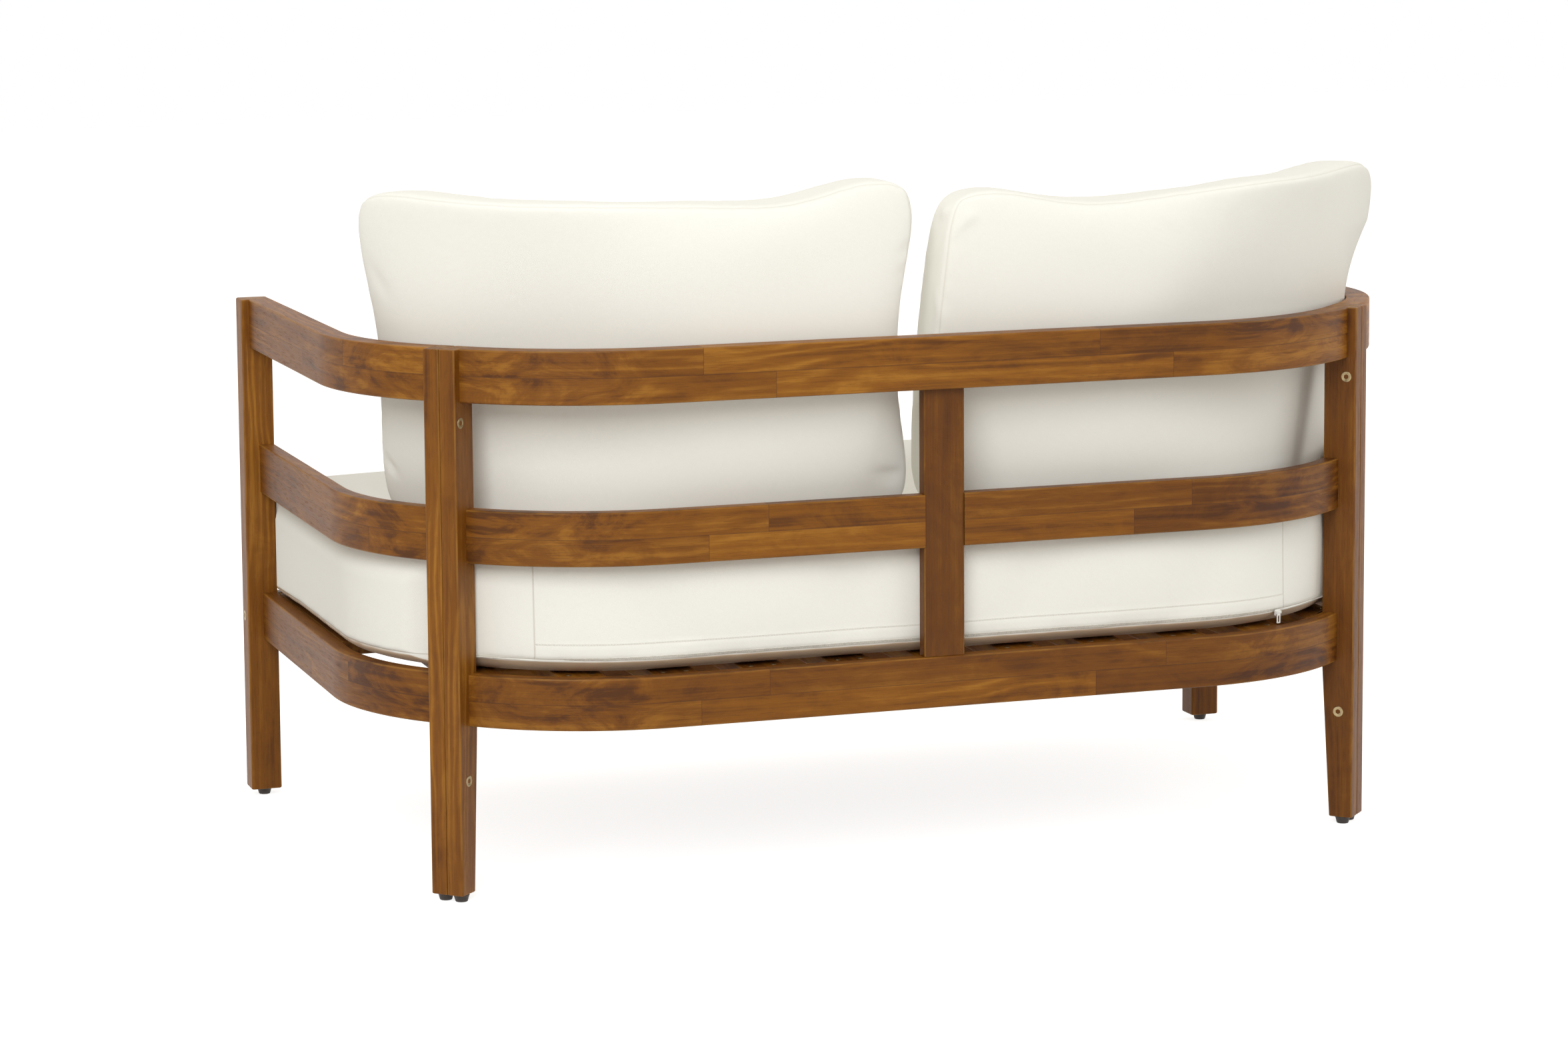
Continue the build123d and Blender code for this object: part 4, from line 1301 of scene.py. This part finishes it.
class Patch:
    """A four-sided area whose edges are lines of points, for the place at any shares across and up."""

    def __init__(self, low, high, left, right, xs, ys):
        self.low, self.high = dict(zip(xs, evenly(low, xs))), dict(zip(xs, evenly(high, xs)))
        self.left, self.right = dict(zip(ys, evenly(left, ys))), dict(zip(ys, evenly(right, ys)))
        self.corners = (low[0], low[-1], high[0], high[-1])

    def at(self, a, b):
        first, second, third, fourth = self.corners
        flat = first * ((1 - a) * (1 - b)) + second * (a * (1 - b)) + third * ((1 - a) * b) + fourth * (a * b)
        return self.low[a] * (1 - b) + self.high[a] * b + self.left[b] * (1 - a) + self.right[b] * a - flat


def well_patch(gap, arm_gap, front, xs, ys):
    """The plan of the seat cushion between the rails, for the grid's shares."""
    half = well_outline(gap, arm_gap, front)

    def nearest(target):
        return min(range(len(half)), key=lambda index: (half[index] - target).length)

    corner = nearest(Vector((inner_x, front, 0)))
    rear = nearest(Vector((inner_x * 0.87, rear_corner().inner.y * 1.03, 0)))
    flipped = [Vector((-p.x, p.y, 0)) for p in half]
    low = flipped[corner:0:-1] + half[: corner + 1]
    high = flipped[rear:] + half[-2 : rear - 1 : -1]
    return Patch(low, high, flipped[corner : rear + 1], half[corner : rear + 1], xs, ys)


def arc(centre, radius, start, turn, count=8):
    """Points on part of a circle in plan."""
    return [around(centre, radius, start + turn * i / count)[0] for i in range(count + 1)]


class LOVESEAT_OT_seat_cushion(bpy.types.Operator):
    """Builds the bench seat cushion: boxed, filled, sewn and lying on the slats"""

    bl_idname = "loveseat.seat_cushion"
    bl_label = "Seat cushion"

    front_line = -0.338
    post_line = 0.229

    def execute(self, context):
        sizes = cushions()
        low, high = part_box("seat_cushion_cover")
        rest = slat_top + 0.0004
        lower, upper = sizes.lower_seam, sizes.upper_seam
        xs = spaced(high.x - low.x, 0.0125)
        ys = spaced(high.y - low.y + 0.12, 0.0125)
        zs = spaced(upper - lower, 0.0125)
        outlines = {}
        shares_x = [x / xs[-1] for x in xs]
        shares_y = [y / ys[-1] for y in ys]
        for share in [z / zs[-1] for z in zs]:
            draw = 0.004 * share
            arm_gap = 0.0015 - self.bulge(lower + (upper - lower) * share)
            front = low.y + 0.006 + draw
            outlines[share] = well_patch(sizes.side_gap + draw, arm_gap, front, shares_x, shares_y)

        def place_at(a, b, c):
            spot = outlines[c].at(a, b)
            edge = sizes.side_gap if spot.y > self.post_line or abs(spot.x) < 0.57 else -sizes.bulge
            inset = max(min(inside_gap(spot.x, spot.y) - edge, spot.y - low.y - 0.005), 0.0)
            seam = lower - 0.007 * held((-0.18 - spot.y) / 0.16)
            under = seam - (seam - rest) * (1 - math.exp(-inset / 0.011))
            over = upper + 0.014 * (1 - math.exp(-inset / 0.03)) + 0.006 * (1 - math.exp(-inset / 0.15))
            return Vector((spot.x, spot.y, under + (over - under) * c))

        vertices, faces, keys = box_shell(xs, ys, zs, place_at)
        start, end = placket_ends
        lines = [(0, end_x, 2, lower, upper) for end_x in placket_ends] + [(2, sizes.placket, 0, start, end)]
        finish = cream_canvas("Cream canvas of the seat", lines, 0.8)
        piece = new_piece("seat_cushion_sewn", vertices, faces, "seat_cushion", "cream_fabric", finish)
        outward_faces(piece)
        seam = seam_distances(keys, xs, ys, zs)
        pins = [1.0 if key[2] == 0 else 0.0 for key in keys]
        store(piece, "seam", seam)
        inflate(piece, keys, pins, sizes.seat_pressure, sizes.seat_swell, 0.4)
        refined(piece)
        sewn(piece)
        for vertex in piece.data.vertices:
            self.raise_placket(vertex.co)
            self.keep_in_well(vertex, rest, low.y)
        smooth(piece, 1.2, weighted=False)
        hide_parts("seat_cushion_cover", "seat_cushion_core")
        return {"FINISHED"}

    def bulge(self, z):
        """How far the filling pushes the side out between the arms' rails at a height."""
        steps = []
        above_bottom = (bottom_high.z + 0.002, bottom_high.z + 0.012)
        below_middle = (middle_low.z - 0.004, middle_low.z - 0.030)
        for start, end in (above_bottom, below_middle):
            part = held((z - start) / (end - start))
            steps.append(part * part * (3 - 2 * part))
        return cushions().bulge * min(steps)

    def allowance(self, spot):
        """The bulge at a point, fading out towards the front posts and the rear corners."""
        fade = held(min((spot.y - self.front_line) / 0.03, (self.post_line - spot.y) / 0.035))
        return self.bulge(spot.z) * fade * fade * (3 - 2 * fade)

    def raise_placket(self, spot):
        """Stands the flap over the zip a little out from the boxing, with two soft pulls in it."""
        sizes = cushions()
        if spot.y > 0.15 and placket_ends[0] < spot.x < placket_ends[1] and sizes.lower_seam < spot.z < sizes.placket:
            near, far = ((spot.x - 0.315) / 0.018) ** 2, ((spot.x + 0.21) / 0.022) ** 2
            spot.y += 0.0008 + (0.0012 * math.exp(-near) + 0.0008 * math.exp(-far))

    def keep_in_well(self, vertex, rest, front):
        """Holds a point above the slats, inside the rails and behind the front posts' line."""
        spot = vertex.co
        spot.z = max(spot.z, rest)
        spot.y = max(spot.y, front - 0.003)
        for _ in range(4):
            gap = inside_gap(spot.x, spot.y)
            limit = 0.0012 - self.allowance(spot)
            if gap >= limit:
                break
            step = limit - gap
            arm, back = rear_corner()[:2]
            side = 1 if spot.x > 0 else -1
            if spot.y < arm.y:
                spot.x -= side * step
            elif abs(spot.x) < back.x:
                spot.y -= step
            else:
                away = Vector((abs(spot.x) - 0.36, spot.y - 0.05, 0)).normalized()
                spot.x -= side * away.x * step
                spot.y -= away.y * step


class LOVESEAT_OT_back_pillows(bpy.types.Operator):
    """Builds the two boxed back pillows, bent round the corners and leaning on the rails"""

    bl_idname = "loveseat.back_pillows"
    bl_label = "Back pillows"

    radius = 0.294
    gusset = 0.074
    lean = 0.030
    back_swell = 0.010
    bottom = 0.426
    corner = 0.046
    slope = 0.394
    crest_shares = (0.0, 0.07, 0.24, 0.62, 1.0)
    shapes = {
        "left": {
            "start": 0.015, "length": 0.743, "turn": math.radians(60), "crest": (0.838, 0.834, 0.811, 0.814, 0.824),
            "pinch": (0.019, 0.012), "skew": 0.0, "flare": 0.018, "round": 0.046,
        },
        "right": {
            "start": 0.023, "length": 0.747, "turn": math.radians(47), "crest": (0.823, 0.817, 0.8005, 0.815, 0.823),
            "pinch": (-0.004, -0.008), "skew": 0.055, "flare": 0.036, "round": 0.066,
        },
    }

    creases = {
        "left": (
            ((0.066, 0.33, 0.481), (0.026, 0.33, 0.473), 0.0030, 0.006),
            ((0.058, 0.33, 0.468), (0.030, 0.33, 0.462), 0.0016, 0.005),
            ((0.619, 0.10, 0.500), (0.612, 0.12, 0.480), 0.0030, 0.006),
            ((0.040, 0.34, 0.742), (0.016, 0.33, 0.752), 0.0012, 0.006),
            ((0.046, 0.34, 0.715), (0.018, 0.33, 0.720), 0.0010, 0.007),
            ((0.600, 0.14, 0.700), (0.618, 0.12, 0.735), 0.0014, 0.009),
        ),
        "right": (
            ((-0.002, 0.29, 0.800), (-0.046, 0.34, 0.786), 0.0050, 0.007),
            ((-0.024, 0.33, 0.770), (-0.048, 0.34, 0.786), 0.0018, 0.006),
            ((-0.656, 0.10, 0.818), (-0.640, 0.11, 0.803), 0.0040, 0.005),
            ((-0.280, 0.34, 0.800), (-0.305, 0.34, 0.762), 0.0014, 0.008),
            ((-0.315, 0.34, 0.802), (-0.335, 0.34, 0.770), 0.0012, 0.008),
            ((-0.375, 0.33, 0.806), (-0.390, 0.33, 0.775), 0.0012, 0.009),
            ((-0.020, 0.30, 0.700), (-0.024, 0.33, 0.640), 0.0016, 0.008),
        ),
    }

    def frame_at(self, shape, distance):
        """Place on the pillow's line and the direction that points backwards."""
        back = rear_corner().back
        line_y = back.y + wood().back_bend_radius - 0.0055
        reach = distance + shape["start"]
        rest = max(reach - back.x, 0.0)
        bend = min(rest, self.radius * shape["turn"])
        turn = bend / self.radius
        tail = rest - bend
        x = min(reach, back.x) + self.radius * math.sin(turn) + tail * math.cos(turn)
        y = line_y - self.radius * (1 - math.cos(turn)) - tail * math.sin(turn)
        return Vector((x, y, 0)), Vector((math.sin(turn), math.cos(turn), 0))

    def top_at(self, shape, distance):
        """Height of the pillow's top, which dips between its corners."""
        share = distance / shape["length"]
        spans = zip(self.crest_shares, self.crest_shares[1:], shape["crest"], shape["crest"][1:])
        for low, high, first, second in spans:
            if share <= high:
                break
        part = (share - low) / (high - low)
        return first + (second - first) * part * part * (3 - 2 * part)

    def outline(self, shape, xs, ys):
        """The face of the pillow laid flat: distance along it and height, with rounded corners."""
        r, low, length = self.corner, self.bottom + self.corner, shape["length"]
        left_low, right_low = Vector((r, low, 0)), Vector((length - r, low, 0))
        left_high = Vector((r, self.top_at(shape, r) - r, 0))
        far_r = shape["round"]
        right_high = Vector((length - far_r, self.top_at(shape, length - far_r) - far_r, 0))
        crest = [r + (length - r - far_r) * i / 24 for i in range(1, 24)]
        bottom = arc(left_low, r, -3 * eighth, eighth) + arc(right_low, r, -quarter, eighth)
        top = arc(left_high, r, 3 * eighth, -eighth)
        top += [Vector((s, self.top_at(shape, s), 0)) for s in crest]
        top += arc(right_high, far_r, quarter, -eighth)
        waists = [(i / 12, math.sin(math.pi * i / 12)) for i in range(1, 12)]
        near, far = shape["pinch"]
        left_waist = [Vector((near * waist, low + (left_high.y - low) * share, 0)) for share, waist in waists]
        rise = right_high.y - low
        right_waist = [Vector((length - far * waist, low + rise * share, 0)) for share, waist in waists]
        left = arc(left_low, r, -3 * eighth, -eighth) + left_waist + arc(left_high, r, math.pi, -eighth)
        right = arc(right_low, r, -eighth, eighth) + right_waist + arc(right_high, far_r, 0.0, eighth)
        return Patch(bottom, top, left, right, xs, ys)

    def place_at(self, shape, face, a, h, d):
        """A point of the cover before it is filled: shares along, up and from back to front."""
        flat = face.at(a, h)
        share = min((flat.y - self.bottom) / self.slope, 1.0)
        lowered = shape["skew"] * (1 - share) * self.slope * (1 - flat.x / shape["length"])
        origin, behind = self.frame_at(shape, flat.x - lowered)
        corner = (abs(2 * a - 1) * abs(2 * h - 1)) ** 5
        flare = shape["flare"] * (flat.x / shape["length"]) ** 3 * max((flat.y - 0.66) / 0.16, 0.0)
        back = flare - self.back_swell - self.lean * (1 - share) - 0.003 - 0.010 * corner
        front = back - self.gusset * (1 - 0.25 * corner)
        return origin + behind * (back + (front - back) * d) + Vector((0, 0, flat.y))

    def execute(self, context):
        seat = bpy.data.objects["seat_cushion_sewn"]
        seat_tree = BVHTree.FromObject(seat, context.evaluated_depsgraph_get())
        for side in ("left", "right"):
            self.pillow(side, self.shapes[side], seat_tree)
        return {"FINISHED"}

    def pillow(self, side, shape, seat_tree):
        """One pillow, shaped on the left side and mirrored for the right."""
        sizes = cushions()
        height = max(shape["crest"]) - self.bottom
        xs, ys, zs = spaced(shape["length"]), spaced(height), spaced(self.gusset)
        face = self.outline(shape, [x / xs[-1] for x in xs], [y / ys[-1] for y in ys])
        vertices, faces, keys = box_shell(xs, ys, zs, lambda a, h, d: self.place_at(shape, face, a, h, d))
        body = f"back_pillow_{side}"
        piece = new_piece(f"{body}_sewn", vertices, faces, body, "cream_fabric", cream_canvas())
        outward_faces(piece)
        seam = seam_distances(keys, xs, ys, zs)
        store(piece, "seam", seam)
        inflate(piece, keys, [0.0] * len(keys), sizes.pillow_pressure, sizes.pillow_swell, 0.25)
        softened(piece, 22)
        refined(piece)
        sewn(piece)
        if side == "right":
            for vertex in piece.data.vertices:
                vertex.co.x = -vertex.co.x
        pressed(piece, self.creases[side])
        self.settle(piece, seat_tree, 1 if side == "left" else -1)
        smooth(piece, 1.2, weighted=False)
        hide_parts(f"back_pillow_cover_{side}", f"back_pillow_core_{side}")

    def settle(self, piece, seat_tree, side):
        """Keeps a pillow on the seat cushion, inside the rails and on its own side."""
        arm, back = rear_corner()[:2]
        for vertex in piece.data.vertices:
            spot = vertex.co
            spot.x = side * max(side * spot.x, 0.0015)
            if spot.z < 0.5:
                hit = seat_tree.ray_cast(Vector((spot.x, spot.y, 1.0)), Vector((0, 0, -1)))[0]
                if hit is not None:
                    spot.z = max(spot.z, hit.z + 0.001)
            if spot.z < top_high.z + 0.12:
                gap = inside_gap(spot.x, spot.y)
                if gap < 0.0015:
                    free = held((spot.z - top_high.z - 0.002) / 0.09) ** 0.7
                    step = (0.0015 - gap) * (1 - free)
                    centre = back if spot.y > arm.y else Vector((0, spot.y, 0))
                    away = Vector((abs(spot.x) - min(centre.x, abs(spot.x)), spot.y - centre.y, 0))
                    away = away.normalized() if away.length > 0.01 else Vector((0, 1, 0))
                    spot.x -= side * away.x * step
                    spot.y -= away.y * step


class LOVESEAT_OT_zip(bpy.types.Operator):
    """Builds the zip under the placket, its stitch line, and finishes the slider and its pull"""

    bl_idname = "loveseat.zip"
    bl_label = "Zip"

    zip_turn = math.radians(24)
    stitch_turn = math.radians(30)

    def execute(self, context):
        seat = bpy.data.objects["seat_cushion_sewn"]
        tree = BVHTree.FromObject(seat, context.evaluated_depsgraph_get())
        self.teeth(tree)
        self.stitches(tree)
        enamel = simple_finish("Zip enamel", hardware().enamel, 0.28, scale=500.0, darkening=0.12)
        for name in ("zip_slider", "zip_pull"):
            refinished(name, enamel)
        return {"FINISHED"}

    def line(self, tree, height, spacing, reach):
        """Places on the cushion's rear side at one height: the spot, the way along and the way out."""
        back = rear_corner().back
        radius = wood().back_bend_radius
        bend = radius * reach
        straight_end = bend + back.x * 2
        total = straight_end + bend
        places = []
        for index in range(int(total / spacing) + 1):
            distance = index * spacing
            if distance < bend:
                origin, away = around(back, radius, quarter - reach + distance / radius)
            elif distance < straight_end:
                origin, away = Vector((back.x - (distance - bend), back.y + radius, 0)), backward
            else:
                past = distance - bend - back.x * 2
                origin, away = around(mirrored(back), radius, quarter + past / radius)
            start = origin + away * 0.05
            start.z = height
            hit, normal, _, _ = tree.ray_cast(start, -away)
            if hit is not None:
                places.append((hit, Vector((-away.y, away.x, 0)), normal if normal.dot(away) > 0 else -normal))
        return places

    def teeth(self, tree):
        """Two rows of coil teeth on a narrow tape, from one end of the zip to the other."""
        low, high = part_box("seat_zip")
        parts = []
        middle = (low.z + high.z) / 2
        for hit, along, out in self.line(tree, middle, 0.0024, self.zip_turn):
            up = upwards(along, out)
            for row, offset in ((1, 0.0), (-1, 0.0012)):
                centre = hit + along * offset + up * (row * 0.0009) + out * 0.0003
                parts.append(rounded_block(centre, along, up, out, (0.0008, 0.0022, 0.0006)))
        section = ((-24, 0), (-22, 3), (22, 3), (24, 0), (22, -4), (-22, -4))
        tape = self.line(tree, middle, 0.012, self.zip_turn)
        vertices = []
        for hit, along, out in tape:
            up = upwards(along, out)
            vertices += [hit + up * (v * 0.0001) + out * (w * 0.0001) for v, w in section]
        faces = tube_faces(len(tape), 6) + end_faces(len(tape), 6)
        parts.append((vertices, faces))
        material = simple_finish("Zip tape", (0.80, 0.78, 0.70, 1), 0.75, scale=900.0, darkening=0.15)
        piece = new_piece("seat_zip_coil", *joined(parts), "seat_cushion", "zip_tape", material)
        smooth(piece, 0.6, weighted=False)
        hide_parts("seat_zip")

    def stitches(self, tree):
        """The sewn line over the zip, one short raised stitch after another."""
        parts = []
        for hit, along, out in self.line(tree, cushions().placket, 0.0034, self.stitch_turn):
            if placket_ends[0] < hit.x < placket_ends[1]:
                up = along.cross(out).normalized()
                parts.append(rounded_block(hit + out * 0.0001, along, up, out, (0.0025, 0.00065, 0.0007)))
        thread = simple_finish("Sewing thread", cushions().thread, 0.8, scale=1500.0, darkening=0.1)
        piece = new_piece("placket_stitches", *joined(parts), "seat_cushion", "cream_fabric", thread)
        smooth(piece, 0.9, weighted=False)


def upwards(along, out):
    """The way up a surface, from the way along it and the way out of it."""
    up = along.cross(out).normalized()
    return up if up.z > 0 else -up


def rounded_block(centre, along, up, out, size):
    """Vertices and faces of a small block with softened ends."""
    a, b, c = (side / 2 for side in size)
    vertices = []
    for x, share in ((-a, 0.45), (-a * 0.7, 1.0), (a * 0.7, 1.0), (a, 0.45)):
        for index in range(6):
            angle = math.tau * index / 6
            across = up * (b * share * math.cos(angle)) + out * (c * share * math.sin(angle))
            vertices.append(centre + along * x + across)
    return vertices, tube_faces(4, 6) + end_faces(4, 6)


def seen_directly(tree):
    """One for the rays of the camera, of reflections and of clear views."""
    rays = node(tree, "ShaderNodeLightPath")
    through = rays["Is Glossy Ray"].math("MAXIMUM", rays["Is Transmission Ray"])
    return rays["Is Camera Ray"].math("MAXIMUM", through)


class LOVESEAT_OT_stage(bpy.types.Operator):
    """Sets up the camera, the pale floor, the lamps and the white background"""

    bl_idname = "loveseat.stage"
    bl_label = "Stage"

    camera_place = (1.754498, 4.850760, 1.207528)
    camera_shift = (0.05017, -0.09991)
    lamp_colour = (0.97, 1.0, 1.04)
    room_colour = (1.0, 0.94, 0.85, 1)
    reach = 14.0

    def execute(self, context):
        self.camera(context.scene)
        self.floor()
        self.lamps()
        self.world(context.scene)
        context.scene.view_settings.view_transform = "Standard"
        return {"FINISHED"}

    def camera(self, scene):
        """A camera where the photograph was taken from, behind the loveseat and to its left."""
        view = studio()
        level_forward = Vector((math.sin(view.turn), -math.cos(view.turn), 0))
        forward = level_forward * math.cos(view.tilt) - upward * math.sin(view.tilt)
        level_right = Vector((-math.cos(view.turn), -math.sin(view.turn), 0))
        level_down = forward.cross(level_right)
        right = level_right * math.cos(view.roll) + level_down * math.sin(view.roll)
        down = level_down * math.cos(view.roll) - level_right * math.sin(view.roll)
        data = bpy.data.cameras.new("Camera")
        data.sensor_width = 36.0
        data.lens = view.lens
        data.shift_x, data.shift_y = self.camera_shift
        camera = bpy.data.objects.new("Camera", data)
        turn = Matrix((right, -down, -forward)).transposed().to_4x4()
        turn.translation = Vector(self.camera_place)
        camera.matrix_world = turn
        scene.collection.objects.link(camera)
        scene.camera = camera

    def floor(self):
        """A wide pale floor that shows white to the camera and keeps the loveseat's shadow."""
        mesh = bpy.data.meshes.new("floor")
        corners = [(x * self.reach, y * self.reach, 0) for x, y in ((-1, -1), (1, -1), (1, 1), (-1, 1))]
        mesh.from_pydata(corners, [], [(0, 1, 2, 3)])
        floor = bpy.data.objects.new("floor", mesh)
        bpy.context.scene.collection.objects.link(floor)
        material, tree, shader = new_material("Pale floor")
        speckle = between(cloudy(node(tree, "ShaderNodeTexCoord")["Object"], 60.0, detail=3.0), 0.3, 0.7, 0.0, 0.06)
        colour = mixed(speckle, tuple(studio().floor), (0.57, 0.56, 0.55, 1))
        feed(tree, shader, {"Base Color": colour, "Roughness": 0.85, "Specular IOR Level": 0.1})
        white = node(tree, "ShaderNodeEmission", {"Color": (1, 1, 1, 1), "Strength": seen_directly(tree) * 0.80})[0]
        added = node(tree, "ShaderNodeAddShader", {0: Wire(tree, shader.outputs[0]), 1: white})[0]
        output = next(item for item in tree.nodes if item.type == "OUTPUT_MATERIAL")
        feed(tree, output, {"Surface": added})
        mesh.materials.append(material)

    def lamps(self):
        """A large soft lamp over the camera, a weaker one across from it and one overhead."""
        view = studio()
        target = Vector((0.0, 0.0, 0.35))
        for name, power, place, size in (
            ("Key", view.key, Vector((2.4, 3.6, 3.0)), 2.6),
            ("Fill", view.fill, Vector((-3.4, 2.2, 1.8)), 2.4),
            ("Top", view.top, Vector((0.2, -0.6, 3.4)), 3.2),
        ):
            data = bpy.data.lights.new(name, "AREA")
            data.energy = power
            data.color = self.lamp_colour
            data.size = size
            lamp = bpy.data.objects.new(name, data)
            lamp.location = place
            lamp.rotation_euler = (target - place).to_track_quat("-Z", "Y").to_euler()
            bpy.context.scene.collection.objects.link(lamp)

    def world(self, scene):
        """Even light from all round; the camera and clear reflections see white."""
        world = bpy.data.worlds.new("Room")
        world.use_nodes = True
        tree = world.node_tree
        tree.nodes.clear()
        seen = seen_directly(tree)
        strength = node(tree, "ShaderNodeMix", {0: seen, 2: studio().sky, 3: 1.0}, data_type="FLOAT")[0]
        colour = mixed(seen, self.room_colour, (1, 1, 1, 1))
        background = node(tree, "ShaderNodeBackground", {"Color": colour, "Strength": strength})[0]
        node(tree, "ShaderNodeOutputWorld", {"Surface": background})
        scene.world = world


class LOVESEAT_PT_panel(bpy.types.Panel):
    """Lists the pieces and their sizes in the 3D view's sidebar"""

    bl_idname = "LOVESEAT_PT_panel"
    bl_label = "Patio loveseat"
    bl_space_type = "VIEW_3D"
    bl_region_type = "UI"
    bl_category = "Loveseat"

    def draw(self, context):
        layout = self.layout
        for step in steps:
            layout.operator(step.bl_idname)
        for holder in (wood(), cushions(), hardware(), studio()):
            box = layout.box()
            box.label(text=holder.__class__.__name__.replace("Loveseat", ""))
            for name in holder.__annotations__:
                box.prop(holder, name)


groups = (
    ("loveseat_wood", LoveseatWood),
    ("loveseat_cushions", LoveseatCushions),
    ("loveseat_hardware", LoveseatHardware),
    ("loveseat_studio", LoveseatStudio),
)
steps = (
    LOVESEAT_OT_stage,
    LOVESEAT_OT_posts,
    LOVESEAT_OT_arm_rails,
    LOVESEAT_OT_back_rails,
    LOVESEAT_OT_seat_base,
    LOVESEAT_OT_hardware,
    LOVESEAT_OT_seat_cushion,
    LOVESEAT_OT_back_pillows,
    LOVESEAT_OT_zip,
)


def register():
    for name, group in groups:
        bpy.utils.register_class(group)
        setattr(bpy.types.Scene, name, PointerProperty(type=group))
    for step in steps:
        bpy.utils.register_class(step)
    bpy.utils.register_class(LOVESEAT_PT_panel)


def unregister():
    bpy.utils.unregister_class(LOVESEAT_PT_panel)
    for step in reversed(steps):
        bpy.utils.unregister_class(step)
    for name, group in reversed(groups):
        delattr(bpy.types.Scene, name)
        bpy.utils.unregister_class(group)


def main():
    register()
    for step in steps:
        group, name = step.bl_idname.split(".")
        getattr(getattr(bpy.ops, group), name)()


if __name__ == "__main__":
    main()
